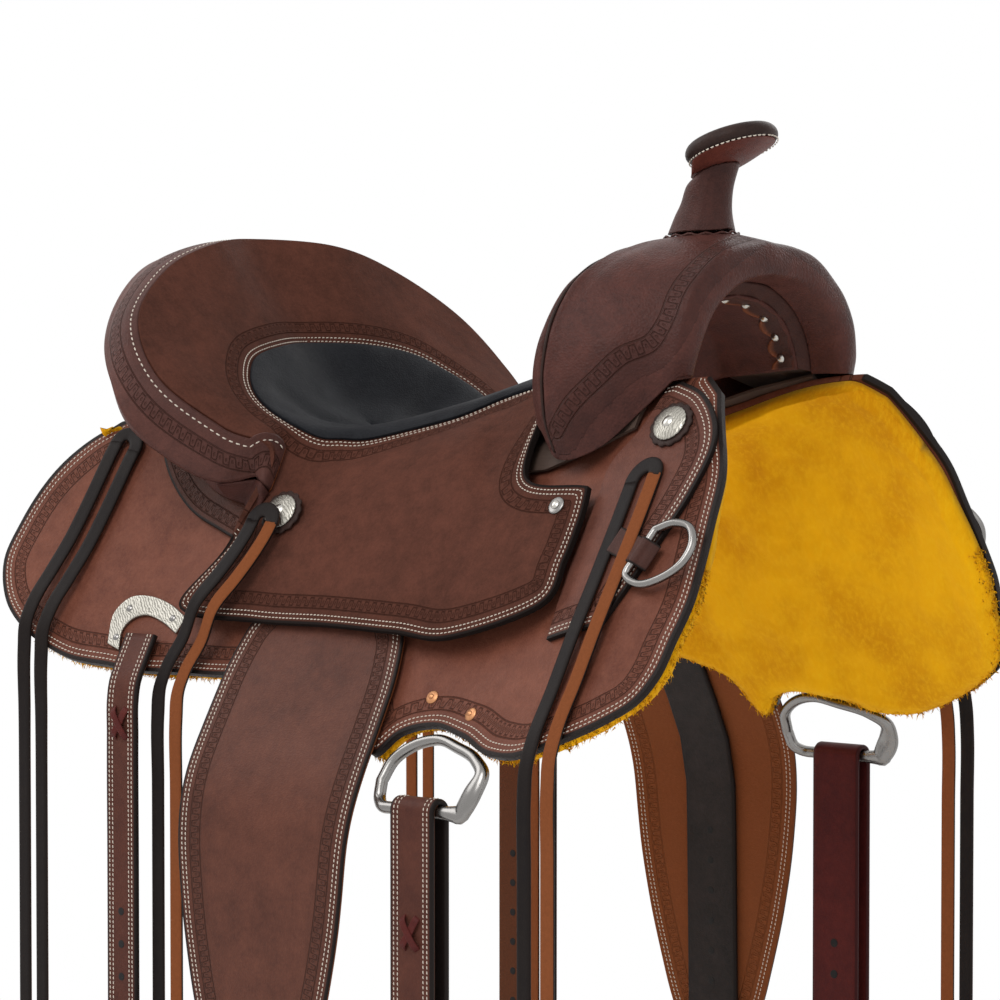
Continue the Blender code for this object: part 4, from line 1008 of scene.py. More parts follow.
@dataclass
class Stitching:
    """Rows of saddle stitches gathered into one piece of thread."""

    name: str
    body: str = "saddle"
    pitch: float = 0.0036
    share: float = 0.70
    radius: float = 0.00050
    verts: list = field(default_factory=list)
    faces: list = field(default_factory=list)

    def row(self, points: Array, normals: Array, keep: Callable[[Array], bool] | None = None,
            slant: float = 0.12) -> "Stitching":
        """Sew one row along a line.

        Args:
            points: the line.
            normals: the surface's normals on it.
            keep: says of each place whether a stitch goes there.
            slant: the slope of each stitch across the row.

        Returns:
            This stitching.
        """
        p, n = resample(points, self.pitch / STITCH_SAMPLES, normals)
        for k in range(0, len(p) - STITCH_SAMPLES, STITCH_SAMPLES):
            if keep and not keep(p[k]):
                continue
            one, two = p[k], p[min(k + STITCH_SAMPLES - 1, len(p) - 1)]
            up = unit(n[k])
            ahead = two - one
            length = np.linalg.norm(ahead)
            if length < 1e-5 or length > self.pitch:
                continue
            ahead = ahead / length
            flank = np.cross(up, ahead)
            ahead = unit(ahead + flank * slant)
            middle, half = (one + two) / 2, self.pitch * self.share / 2
            flank = np.cross(up, ahead)
            start = len(self.verts)
            for at, size, sink in STITCH_RINGS:
                centre = middle + ahead * at * half + up * sink * self.radius
                for a in range(STITCH_SIDES):
                    turn = 2 * math.pi * a / STITCH_SIDES
                    self.verts.append(centre + (flank * math.cos(turn) + up * math.sin(turn)) * self.radius * size)
            last = len(self.verts) - STITCH_SIDES
            for base in range(start, last, STITCH_SIDES):
                for a in range(STITCH_SIDES):
                    b = (a + 1) % STITCH_SIDES
                    self.faces.append((base + a, base + b, base + STITCH_SIDES + b, base + STITCH_SIDES + a))
            self.faces.append(tuple(start + a for a in reversed(range(STITCH_SIDES))))
            self.faces.append(tuple(last + a for a in range(STITCH_SIDES)))
        return self

    def along(self, grid: Grid, levels: Iterable[float], off: float,
              keep: Callable[[Array], bool] | None = None) -> "Stitching":
        """Sew rows at distances from a grid's edge.

        Args:
            grid: the surface.
            levels: the distances.
            off: how far out from the grid the rows lie.
            keep: says of each place whether a stitch goes there.

        Returns:
            This stitching.
        """
        for level in levels:
            for points, normals in grid.contour(level, off):
                self.row(points, normals, keep)
        return self

    def finish(self) -> bpy.types.Object | None:
        """The thread as one piece on its body.

        Returns:
            The piece, or none if no stitch was sewn.
        """
        if not self.verts:
            return None
        item = piece(self.name, np.array(self.verts), self.faces, THREAD)
        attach(item, self.body)
        LOG.info("%s: %d stitches", self.name, len(self.verts) // (len(STITCH_RINGS) * STITCH_SIDES))
        return item


def place_on(item: bpy.types.Object, body: str, *nodes: str) -> bpy.types.Object:
    """Put a piece on its body, in the place of the solids it stands for.

    Args:
        item: the piece.
        body: the body.
        nodes: the solids.

    Returns:
        The piece.
    """
    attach(item, body)
    if nodes:
        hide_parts(*nodes)
    LOG.info("%s on %s", item.name, body)
    return item


def band(centre: Array, across: Array, width: Array | float, thick: float, out_sign: float = 1.0) -> tuple[Array, dict]:
    """Sections of a flat strap along a path, with what is known at its points.

    Args:
        centre: the path.
        across: the direction of the width at each point.
        width: the strap's width.
        thick: its thickness.
        out_sign: which face is the grain side.

    Returns:
        The rings and the stored numbers.
    """
    p = np.asarray(centre, float)
    across = np.broadcast_to(np.asarray(across, float), p.shape)
    width = np.broadcast_to(np.asarray(width, float), (len(p),))
    tangent = np.gradient(p, axis=0)
    out = unit(np.cross(across, tangent)) * out_sign
    length = run_lengths(p)
    r = min(thick * 0.42, 0.0016)
    rings, edge, back = [], [], []
    for k in range(len(p)):
        half = width[k] / 2
        near_edge = min(0.004, half * 0.5)
        across_steps = [-half + r, -half + near_edge, -half * 0.3, half * 0.3, half - near_edge, half - r]
        top = [(a, thick / 2) for a in across_steps]
        right = [(half - r * 0.29, thick / 2 - r * 0.29), (half, thick / 2 - r), (half, -thick / 2 + r),
                 (half - r * 0.29, -thick / 2 + r * 0.29)]
        low = [(a, -thick / 2) for a in across_steps[::-1]]
        left = [(-half + r * 0.29, -thick / 2 + r * 0.29), (-half, -thick / 2 + r), (-half, thick / 2 - r),
                (-half + r * 0.29, thick / 2 - r * 0.29)]
        section = top + right + low + left
        rings.append([p[k] + across[k] * a + out[k] * h for a, h in section])
        edge.append([max(0.0, half - abs(a)) for a, h in section])
        back.append([1.0 if h < -thick / 2 + r * 0.5 else 0.0 for a, h in section])
    run = np.repeat(length[:, None], len(rings[0]), 1)
    return np.array(rings), {"edge": np.array(edge).ravel(), "run": run.ravel(), "back": np.array(back).ravel()}


def strap(name: str, line: Array, across: Array, width: Array | float, thick: float, finish: Finish,
          out_sign: float = 1.0) -> bpy.types.Object:
    """A flat strap along a path, its arguments as band has them."""
    rings, values = band(line, across, width, thick, out_sign)
    return loft(name, rings, finish, values=values)


# The heights of the near-black patch of painted shade that stands for a hole, at its middle and its rim.
HOLE_CROWN, HOLE_RIM = 0.0003, 0.0002


def punch(name: str, at: Array, normal: Array, radius: float, body: str) -> None:
    """Make a punched hole on a strap's face as a near-black patch of painted shade."""
    place_on(dome(name, at, normal, Crown(radius, HOLE_CROWN, HOLE_RIM), HOLE_SHADE), body)


def tube(name: str, path: Array, radius: Array | float, finish: Finish, closed: bool = False, sides: int = 14,
         flat: Array | None = None) -> bpy.types.Object:
    """A round or oval bar along a path.

    Args:
        name: the piece's name.
        path: its middle line.
        radius: its radius, or one radius a point.
        finish: its finish.
        closed: whether it meets itself.
        sides: points round it.
        flat: the second radius where it is oval.

    Returns:
        The piece.
    """
    p = np.asarray(path, float)
    tangent = unit(np.roll(p, -1, 0) - np.roll(p, 1, 0)) if closed else unit(np.gradient(p, axis=0))
    radius = np.broadcast_to(np.asarray(radius, float), (len(p),))
    other = radius if flat is None else np.broadcast_to(np.asarray(flat, float), (len(p),))
    middle = p.mean(0)
    plane = unit(np.cross(p[len(p) // 3] - middle, p[0] - middle)) if len(p) > 3 else np.array((0, 0, 1.0))
    rings = []
    for k in range(len(p)):
        one = unit(np.cross(tangent[k], plane))
        two = unit(np.cross(tangent[k], one))
        turns = np.linspace(0, 2 * math.pi, sides, endpoint=False)
        rings.append([p[k] + one * math.cos(a) * radius[k] + two * math.sin(a) * other[k] for a in turns])
    return loft(name, rings, finish, closed)


# Across a dome, as a share of its radius, with the height as a share of its rim, or none on its crown.
DOME_RINGS: tuple = ((0.90, 0.0), (1.0, 0.0), (1.0, 0.7), (0.96, 1.0), (0.86, None), (0.65, None), (0.40, None),
                     (0.15, None), (0.02, None))
DOME_SIDES = 72


@dataclass(frozen=True)
class Crown:
    """The sizes of a round crowned piece, with the lobes round its edge and the notches between them."""

    radius: float
    height: float
    rim: float = 0.0006
    scallops: int = 0
    depth: float = 0.0


def dome(name: str, centre: Array, normal: Array, crown: Crown, finish: Finish) -> bpy.types.Object:
    """A round crowned piece standing on a surface, its edge scalloped where asked.

    Args:
        name: the piece's name.
        centre: the place on the surface.
        normal: the direction out of it.
        crown: its sizes.
        finish: its finish.

    Returns:
        The piece.
    """
    n = unit(np.asarray(normal, float))
    a = unit(np.cross(n, (0.3, 0.2, 1.0)))
    b = np.cross(n, a)
    turns = np.linspace(0, 2 * math.pi, DOME_SIDES, endpoint=False)
    wave = np.full(DOME_SIDES, crown.radius)
    if crown.scallops:
        wave = crown.radius - crown.depth * (1 - np.abs(np.cos(turns * crown.scallops / 2)))
    rings = []
    for share, up in DOME_RINGS:
        lift = crown.rim + (crown.height - crown.rim) * (1 - (share / 0.96) ** 2) if up is None else crown.rim * up
        ring = [np.asarray(centre) + (a * math.cos(t) + b * math.sin(t)) * w * share + n * lift
                for t, w in zip(turns, wave)]
        rings.append(ring)
    return loft(name, rings, finish)


# Sub-assemblies

@dataclass
class Layers:
    """How thick each layer is, and how far out from the horse's side it lies."""

    gap: float = 0.0006
    skirt: float = 0.0055
    fleece: float = 0.0150
    seat: float = 0.0045
    jockey: float = 0.0040
    front: float = 0.0061
    rear: float = 0.0067
    strap: float = 0.0072
    strap_thick: float = 0.0040
    fender_thick: float = 0.0035
    seat_stations: Sequence[float] = (-0.150, -0.090, 0.120, 0.225)
    seat_off: Sequence[float] = (0.0165, 0.0200, 0.0200, 0.0150)


LAYERS = Layers()


@dataclass
class Panel:
    """A panel on the horse's side between a top and a low edge, each a list of places (x, s)."""

    top: Sequence
    low: Sequence
    columns: int = 120
    rows: int = 40
    closed_ends: bool = True

    def places(self) -> Array:
        """The grid of places.

        Returns:
            The places (x, s), with a row for each column of the panel.
        """
        along = np.linspace(0, 1, self.columns)
        top, low = flowing(self.top, along), flowing(self.low, along)
        down = np.linspace(0, 1, self.rows)[None, :, None]
        return top[:, None] * (1 - down) + low[:, None] * down

    def grid(self, off: float) -> Grid:
        """The panel's surface, so far out, with the distances from its border.

        Args:
            off: how far out from the horse's side it lies.

        Returns:
            The surface.
        """
        places = self.places()
        border = [places[:, -1]]
        if self.closed_ends:
            border = [places[0, :-1], *border, places[-1, -2::-1]]
        edge, run = border_fields(places, np.vstack(border))
        return faced(SIDE.point(places[..., 0], places[..., 1], off), edge, run)


@dataclass
class Skirts:
    """The two skirts with their fleece."""

    panel: Panel = field(default_factory=lambda: Panel(
        ((-0.232, 0.028), (-0.120, 0.030), (0.000, 0.034), (0.110, 0.050), (0.190, 0.076), (0.245, 0.095),
         (0.283, 0.108)),
        ((-0.262, 0.076), (-0.283, 0.125), (-0.305, 0.152), (-0.329, 0.191), (-0.342, 0.234), (-0.345, 0.269),
         (-0.328, 0.299), (-0.298, 0.316), (-0.255, 0.320), (-0.203, 0.306), (-0.114, 0.289), (0.018, 0.287),
         (0.062, 0.312), (0.090, 0.350), (0.104, 0.335), (0.133, 0.331), (0.165, 0.346), (0.201, 0.376),
         (0.227, 0.390), (0.268, 0.392), (0.297, 0.386), (0.319, 0.375), (0.329, 0.356), (0.333, 0.329),
         (0.337, 0.299), (0.336, 0.276), (0.332, 0.237), (0.327, 0.198), (0.318, 0.175), (0.299, 0.127)),
        240, 90))
    stitches: Sequence[float] = (0.0048, 0.0084)
    fleece_inset: float = 0.0024
    rim_tufts: int = 5200
    fluff_from: float = 0.27
    hidden_inset: float = 0.0055
    strap_half: float = 0.030
    heart: float = 0.19
    inset_from: float = 0.19
    inset_over: float = 0.08
    rim_width: float = 0.006
    seeds: Sequence[int] = (11, 12)

    def build(self) -> None:
        """Make both skirts and their fleece."""
        grid = self.panel.grid(0.0)
        for word, hand in HANDS:
            mine = grid.on(hand)
            item = mine.shell(f"skirt_{word}_leather", LAYERS.skirt, 0.0, SKIRT_LEATHER, 0.0014)
            place_on(item, "saddle", f"skirt_{word}")
            Stitching(f"skirt_{word}_thread").along(mine, self.stitches, LAYERS.skirt, self.clear).finish()
            self.fleece(word, hand, mine)

    def clear(self, place: Array) -> bool:
        """Whether a stitch lies clear of the stirrup leather that swings against the skirt."""
        return bool(abs(place[0] - HANG.x) > self.strap_half)

    def fleece(self, word: str, hand: int, grid: Grid) -> None:
        """Make the fleece under one skirt.

        Args:
            word: left or right.
            hand: 1 or -1.
            grid: the skirt's surface.
        """
        inside = ease(grid.edge / 0.012)
        deep = np.empty(grid.edge.shape)
        for i, j in np.ndindex(deep.shape):
            p = Vector(grid.points[i, j])
            deep[i, j] = noise.noise(p * 26) * 0.0022 + noise.noise(p * 70) * 0.0012 + noise.noise(p * 190) * 0.0005
        low = -(LAYERS.fleece * (0.62 + 0.38 * inside) + deep - 0.0012)
        places = self.panel.places()
        low_down = places[..., 1] > self.fluff_from
        inset = self.hidden_inset + (self.fleece_inset - self.hidden_inset) * ease(
            (places[..., 1] - self.inset_from) / self.inset_over)
        shrink = inset * (1 - grid.edge / (3 * inset)).clip(0) ** 2
        heart = to_hand(SIDE.point(places[..., 0] * 0.8, np.full(places.shape[:2], self.heart)), hand)
        towards = heart - grid.points
        towards = unit(towards - grid.normals * (towards * grid.normals).sum(-1, keepdims=True))
        body = Grid(grid.points + towards * shrink[..., None], grid.edge, grid.run, grid.outward)
        body.normals = grid.normals
        item = body.shell(f"fleece_{word}_wool", -LAYERS.gap, low, FLEECE, 0.0)
        place_on(item, "saddle", f"fleece_{word}")
        rim = np.argwhere((grid.edge < self.rim_width) & low_down)
        self.tufts(word, self.seeds[hand < 0], body, low, towards, rim)

    def tufts(self, word: str, seed: int, body: Grid, low: Array, towards: Array, rim: Array) -> None:
        """Make the tufts along the rim of one fleece.

        Args:
            word: left or right.
            seed: what the random draws start from.
            body: the fleece's surface.
            low: how far its face lies from that.
            towards: the direction in from the rim at each point.
            rim: the points, by row and column, from which tufts may grow.
        """
        rng = np.random.default_rng(seed)
        verts, faces = [], []
        for pick in rng.integers(0, len(rim), self.rim_tufts):
            i, j = rim[pick]
            n, out = body.normals[i, j], -towards[i, j]
            share = rng.uniform(0.15, 0.95)
            base = body.points[i, j] + n * low[i, j] * share
            base = base + rng.normal(0, 0.0012, 3)
            lean = rng.normal(0, 0.55, 3)
            ahead = unit(out * 0.9 - n * 0.35 + lean)
            length = rng.uniform(0.0022, 0.0048)
            flank = unit(np.cross(ahead, rng.normal(0, 1, 3))) * rng.uniform(0.00035, 0.0008)
            other = np.cross(ahead, flank)
            start = len(verts)
            base = base - ahead * 0.0008
            curl = unit(rng.normal(0, 1, 3)) * length * 0.35
            verts += [base + flank, base - flank * 0.5 + other * 0.87, base - flank * 0.5 - other * 0.87,
                      base + ahead * length * 0.6 + curl * 0.3 + flank * 0.5, base + ahead * length * 0.6 + curl * 0.3
                      - flank * 0.5, base + ahead * length + curl]
            faces += [(start, start + 1, start + 4, start + 3), (start + 1, start + 2, start + 4),
                      (start + 2, start, start + 3, start + 4), (start + 3, start + 4, start + 5)]
        wool = piece(f"fleece_{word}_tufts", np.array(verts), faces, FLEECE)
        place_on(turned_out(wool), "saddle")


@dataclass
class Seat:
    """The seat leather with its side jockeys, the padded inlay and the tooled bands round both."""

    columns: Sequence = field(default_factory=lambda: SEAT_COLUMNS)
    steps: int = 250
    across: int = 84
    pad_last: float = 14.0 / 17
    pad_narrow: float = 10.5 / 17
    pad_gap: float = 0.0008
    pad_edge: float = 0.0014
    pad_crown: float = 0.0066
    border_from: float = 6.9 / 17
    pad_shares: Sequence[float] = (0, 0.08, 0.16, 0.24, 0.32, 0.4, 0.48, 0.56, 0.64, 0.72, 0.79, 0.85, 0.90, 0.94, 0.97,
                                   0.99, 1)
    screw_at: Sequence[float] = (0.903, 0.918)
    screw_up: float = 0.0020
    screw: Crown = Crown(0.0036, 0.0016)
    ferrule: Crown = Crown(0.0068, 0.0022, 0.0012)
    stitches: Sequence[float] = (0.0040, 0.0076)

    def point(self, t: Array, r: Array) -> Array:
        """A point of the upper face: t from the rear middle to the front, r from the middle out.

        Args:
            t: how far forward, from 0 to 1.
            r: how far out, from 0 to 1.

        Returns:
            The points in space.
        """
        columns = np.asarray(self.columns, float)
        t, r = np.broadcast_arrays(np.asarray(t, float), np.asarray(r, float))
        return blend_even([flowing_even(columns[:, j], t, True) for j in range(columns.shape[1])], r)

    def lifted(self, t: Array, r: Array, off: float) -> tuple[Array, Array]:
        """Points so far out from the upper face and the directions out of it.

        Args:
            t: how far forward, from 0 to 1.
            r: how far from the middle, from 0 to 1.
            off: how far out from the face, in metres.

        Returns:
            The points and the directions.
        """
        p = self.point(t, r)
        out = unit(np.cross(self.point(t + 0.004, r) - p, self.point(t, r - 0.01) - p))
        out = out * np.sign((out * (p + (0.1, 0, 0.2))).sum(-1, keepdims=True))
        return p + out * off, out

    def width(self, t: Array) -> Array:
        """The inlay's half width, as a share of the way out."""
        narrow = np.clip((t - self.pad_narrow) / (self.pad_last - self.pad_narrow), 0, 0.9999)
        return 0.5 * np.sqrt(1 - narrow ** 2)

    def grid(self) -> Grid:
        """The left half of the upper face with the distances from the border and the inlay.

        Returns:
            The surface.
        """
        t, r = np.linspace(0, 1, self.steps), np.linspace(0, 1, self.across)
        tt, rr = np.meshgrid(t, r, indexing="ij")
        points = self.point(tt, rr)
        tb = np.linspace(self.border_from, 1, 240)
        border = np.vstack([self.point(tb, 1.0 + 0 * tb), self.point(1.0 + 0 * r, r[::-1])[1:]])
        edge, run = border_fields(points, border)
        tp = np.linspace(0, self.pad_last, 300)
        ring = self.point(tp, self.width(tp))
        near, along = border_fields(points, ring)
        inlay = (tt <= self.pad_last) & (rr < self.width(tt))
        near = np.where(inlay, 0.05, near + 0.0015)
        closer = near < edge
        return Grid(points, np.where(closer, near, edge), np.where(closer, along, run))

    def build(self) -> None:
        """Make the seat leather and the inlay."""
        half = self.grid()
        item = half.across_middle().shell("seat_leather_sheet", 0.0, -LAYERS.seat, SEAT_LEATHER, 0.0014, weld=True)
        place_on(item, "saddle", "seat_leather")
        thread = Stitching("seat_thread")
        for hand in (1, -1):
            thread.along(half.on(hand), self.stitches, 0.0)
        thread.finish()
        self.inlay()
        self.screws()

    def inlay(self) -> None:
        """Make the padded inlay."""
        t = np.append(np.linspace(0, self.pad_last - 0.001, 170), self.pad_last - 0.0002)
        share = np.array(self.pad_shares)
        tt, rr = np.repeat(t[:, None], len(share), 1), self.width(t)[:, None] * share[None]
        base = Grid(self.point(tt, rr)).across_middle()
        rise = self.pad_crown * (1 - share[None] ** 2) * ease(self.width(t)[:, None] / 0.3)
        soft = 0.0009 * np.sqrt(np.clip((1 - share[None]) / 0.1, 0, 1)) + rise
        high = self.pad_gap + self.pad_edge + soft
        high = np.concatenate([high[:, :0:-1], high], axis=1)
        for i, j in np.ndindex(high.shape):
            high[i, j] += noise.noise(Vector(base.points[i, j]) * 34) * 0.0005
        item = base.shell("seat_inlay", high, self.pad_gap * 0.5, BLACK_LEATHER, 0.0007, weld=True)
        place_on(item, "saddle", "seat_pad")

    def screws(self) -> None:
        """Make the screw and its ferrule at each front corner of the side jockeys."""
        for word, hand in HANDS:
            t, r = self.screw_at
            p = self.point(np.array([t, t - 0.004, t]), np.array([r, r, r - 0.01]))
            n = unit(np.cross(p[1] - p[0], p[2] - p[0]))
            n = n * np.sign(n[1])
            at, n = to_hand(p[0], hand), to_hand(n, hand)
            place_on(dome(f"seat_ferrule_{word}", at, n, self.ferrule, SHADED_STEEL), "saddle")
            place_on(dome(f"seat_screw_{word}", at + n * self.screw_up, n, self.screw, TACK_METAL), "saddle")


def jockey(x: float, s: float) -> tuple[float, float, float]:
    """A point on the upper face of the side jockeys."""
    off = through(LAYERS.seat_stations, LAYERS.seat_off, np.array(x)) + LAYERS.seat
    return tuple(SIDE.point(x, s, off))


RIM: tuple = (
    (-0.262, 0.000, 0.186), (-0.238, 0.069, 0.181), (-0.228, 0.131, 0.161), (-0.204, 0.186, 0.123),
    (-0.164, 0.203, 0.077), (-0.117, 0.182, 0.040), (-0.088, 0.157, 0.018),
)
SEAT_COLUMNS: tuple = (
    ((-0.135, 0, 0.026), (-0.165, 0, 0.052), (-0.200, 0, 0.101), (-0.236, 0, 0.148), RIM[0]),
    ((-0.132, 0, 0.026), (-0.160, 0.030, 0.052), (-0.183, 0.050, 0.099), (-0.214, 0.060, 0.143), RIM[1]),
    ((-0.128, 0, 0.026), (-0.148, 0.050, 0.046), (-0.171, 0.092, 0.091), (-0.203, 0.113, 0.130), RIM[2]),
    ((-0.120, 0, 0.026), (-0.138, 0.062, 0.036), (-0.154, 0.116, 0.076), (-0.182, 0.153, 0.102), RIM[3]),
    ((-0.110, 0, 0.027), (-0.120, 0.070, 0.034), (-0.136, 0.128, 0.062), (-0.152, 0.168, 0.074), RIM[4]),
    ((-0.100, 0, 0.027), (-0.108, 0.075, 0.030), (-0.119, 0.129, 0.050), (-0.121, 0.158, 0.050), RIM[5]),
    ((-0.086, 0, 0.028), (-0.090, 0.070, 0.028), (-0.098, 0.123, 0.038), (-0.096, 0.142, 0.031), RIM[6]),
    ((-0.070, 0, 0.031), (-0.072, 0.065, 0.030), (-0.077, 0.118, 0.030), jockey(-0.092, 0.148),
     jockey(-0.118, 0.190)),
    ((-0.055, 0, 0.034), (-0.056, 0.060, 0.032), (-0.062, 0.110, 0.029), jockey(-0.085, 0.165),
     jockey(-0.143, 0.246)),
    ((-0.035, 0, 0.040), (-0.036, 0.058, 0.038), (-0.042, 0.102, 0.029), jockey(-0.050, 0.158),
     jockey(-0.064, 0.246)),
    ((0.000, 0, 0.050), (0.000, 0.050, 0.047), (-0.008, 0.088, 0.037), jockey(0.004, 0.145), jockey(0.008, 0.249)),
    ((0.030, 0, 0.060), (0.032, 0.044, 0.056), (0.026, 0.076, 0.046), jockey(0.045, 0.132), jockey(0.082, 0.261)),
    ((0.055, 0, 0.068), (0.058, 0.038, 0.065), (0.055, 0.064, 0.056), jockey(0.085, 0.132), jockey(0.135, 0.270)),
    ((0.078, 0, 0.076), (0.083, 0.036, 0.072), (0.088, 0.074, 0.058), jockey(0.122, 0.153), jockey(0.214, 0.272)),
    ((0.095, 0, 0.084), (0.102, 0.034, 0.080), (0.107, 0.077, 0.060), jockey(0.138, 0.150), jockey(0.2225, 0.240)),
    ((0.109, 0, 0.094), (0.114, 0.035, 0.090), (0.116, 0.079, 0.065), jockey(0.145, 0.147), jockey(0.2235, 0.212)),
    ((0.127, 0, 0.110), (0.127, 0.040, 0.101), (0.124, 0.083, 0.069), jockey(0.149, 0.1445), jockey(0.222, 0.194)),
    ((0.1465, 0, 0.129), (0.1425, 0.044, 0.113), (0.1345, 0.085, 0.077), jockey(0.150, 0.1405),
     jockey(0.2195, 0.180)),
)


@dataclass
class Cantle:
    """The roll sewn round the top of the cantle and the leather behind it."""

    seat: Seat
    outer: Sequence = (
        (-0.302, 0.000, 0.170), (-0.292, 0.085, 0.166), (-0.270, 0.138, 0.146), (-0.248, 0.178, 0.118),
        (-0.222, 0.207, 0.092), (-0.198, 0.223, 0.070), (-0.180, 0.226, 0.045), (-0.160, 0.208, 0.018),
        (-0.122, 0.175, -0.005), (-0.105, 0.160, 0.000),
    )
    section: Sequence = (
        (0.00, 0.0000), (0.25, 0.0030), (0.55, 0.0036), (0.82, 0.0016), (0.97, -0.0012), (1.00, -0.0050),
        (0.90, -0.0088), (0.60, -0.0088), (0.28, -0.0072),
    )
    end: float = 5.4 / 17
    inner_tip: Sequence[float] = (6.3 / 17, 0.70)
    outer_tip: Sequence[float] = (6.85 / 17, 0.76)
    gusset_tip: Sequence[float] = (6.95 / 17, 0.86)
    tail_crown: float = 0.0095
    tail_lift: float = 0.0036
    lift_from: float = 0.6
    roll_gap: float = 0.0016
    roll_deep: float = 0.0034
    steps: int = 110
    tail_steps: int = 16
    stitch_in: float = 0.0056
    board: float = 0.014
    back_thick: float = 0.003
    foot: Sequence = (
        (-0.246, 0.004), (-0.240, 0.060), (-0.216, 0.112), (-0.180, 0.140), (-0.148, 0.150), (-0.126, 0.152),
    )
    rows: Sequence = ((0.955, 0.0), (0.80, 0.0012), (0.62, 0.003))

    def build(self) -> None:
        """Make the roll, its stitching, the leather behind it and the gussets."""
        inner, outer, up, tail = self.lines()
        self.roll(inner, outer, up)
        self.sew(inner, outer, up)
        self.back()
        self.gussets(tail)

    @property
    def tail_share(self) -> Array:
        """The shares of the way along the tail, as a column."""
        return np.linspace(0, 1, self.tail_steps + 1)[1:, None]

    def lines(self) -> tuple[Array, Array, Array, Array]:
        """The roll's left half, from the middle to the end of its tail.

        Returns:
            Its edge on the seat, its outer edge, the way up at each place and the tail's outer edge alone.
        """
        t = np.linspace(0, self.end, self.steps)
        inner, outer = self.seat.point(t, np.ones(len(t))), flowing(self.outer, t / self.end)
        tangent = np.gradient(inner + outer, axis=0)
        tangent[0] = (0, 1, 0)
        width = outer - inner
        up = unit(np.cross(width, tangent))
        up[0] *= np.sign(up[0, 2])
        for k in range(1, len(up)):
            up[k] *= np.sign(up[k] @ up[k - 1])
        reach = np.linalg.norm(width, axis=1)
        rise = self.tail_lift * ease((t / self.end - self.lift_from) / (1 - self.lift_from))
        inner = inner + width * (self.roll_gap / reach)[:, None] + up * rise[:, None]
        share = self.tail_share
        on_seat, out = self.seat.lifted(*(self.inner_tip[k] * share[:, 0] + (self.end, 1.0)[k] * (1 - share[:, 0])
                                          for k in (0, 1)), self.tail_lift)
        tip, tip_out = self.seat.lifted(*(np.array([v]) for v in self.outer_tip), 0.0020)
        tail = outer[-1] * (1 - share) + tip * share + tip_out * self.tail_crown * np.sin(share * math.pi)
        inner = np.vstack([inner, inner[-1] * (1 - ease(share * 4)) + on_seat * ease(share * 4)])
        return inner, np.vstack([outer, tail]), np.vstack([up, unit(up[-1] * (1 - share) + out * share)]), tail

    def roll(self, inner: Array, outer: Array, up: Array) -> None:
        """Make the roll between its two edges.

        Args:
            inner: its edge on the seat.
            outer: its outer edge.
            up: the way up at each place.
        """
        reach = np.linalg.norm(outer - inner, axis=1)
        under = inner - up * self.roll_deep
        table = np.array(self.section)
        shares = np.concatenate([np.linspace(0, 0.5, 22)[:-1], np.linspace(0.5, 1, 12)])
        profile = flowing(table, shares)
        rings, edges, runs = [], [], []
        run = run_lengths(inner * 0.6 + outer * 0.4)
        for k in range(len(inner)):
            thin = min(1.0, 0.45 + reach[k] / 0.05) * (1 - 0.6 * max(0, k + 1 - self.steps) / self.tail_steps)
            ring = [inner[k] + (outer[k] - inner[k]) * w + up[k] * h * thin for w, h in profile]
            rings.append(np.array(ring + [under[k]]))
            edges.append([w * reach[k] if h > -0.004 else 0.1 for w, h in profile] + [0.1])
            runs.append([run[k]] * (len(profile) + 1))
        mirrored = [ring * (1, -1, 1) for ring in rings[:0:-1]] + rings
        raw = np.zeros((len(mirrored), len(mirrored[0])))
        raw[[0, -1]] = 1
        values = {"edge": np.array(edges[:0:-1] + edges).ravel(), "run": np.array(runs[:0:-1] + runs).ravel(),
                  "back": raw.ravel()}
        item = loft("cantle_roll", mirrored, ROLL_LEATHER, values=values)
        place_on(item, "saddle", "cheyenne_roll")

    def sew(self, inner: Array, outer: Array, up: Array) -> None:
        """Sew the roll down along its edge on the seat.

        Args:
            inner: its edge on the seat.
            outer: its outer edge.
            up: the way up at each place.
        """
        thread = Stitching("cantle_thread", pitch=0.0056, share=0.66, radius=0.00062)
        table, width = np.array(self.section), outer - inner
        reach = np.linalg.norm(width, axis=1)
        heights = np.interp(self.stitch_in / reach, table[:4, 0], table[:4, 1])
        heights = heights * np.minimum(1, 0.45 + reach / 0.05)
        row = inner + width * (self.stitch_in / reach)[:, None] + up * heights[:, None]
        for hand in (1, -1):
            thread.row(to_hand(row, hand), to_hand(up, hand), slant=0.05)
        thread.finish()

    def gussets(self, tail: Array) -> None:
        """Make the leather that closes the gap under each tail, whose outer edge is given.

        Args:
            tail: the outer edge of the left tail.
        """
        share = self.tail_share
        foot = self.behind(np.array([1.0]))
        corner = self.seat.lifted(*(np.array([v]) for v in self.gusset_tip), 0.0006)[0]
        low = foot * (1 - share) + corner * share
        high = np.vstack([flowing(self.outer, np.array([0.93, 1.0])), tail])
        low = np.vstack([self.behind(np.array([0.90, 1.0])), low])
        mix = np.linspace(0.04, 1, 12)[:, None, None]
        gusset = high[None] * (1 - mix) + low[None] * mix
        for word, hand in HANDS:
            made = faced(to_hand(gusset, hand), inner=(-0.05, 0.0, -0.05))
            place_on(made.shell(f"cantle_gusset_{word}_leather", 0.0, -0.0012, SWELL_PLAIN, 0.0), "saddle")

    def behind(self, at: Array) -> Array:
        """The foot of the leather behind the cantle, at from the middle to its end."""
        foot = flowing(self.foot, at)
        return SIDE.point(foot[:, 0], foot[:, 1], LAYERS.rear + LAYERS.jockey + self.back_thick)

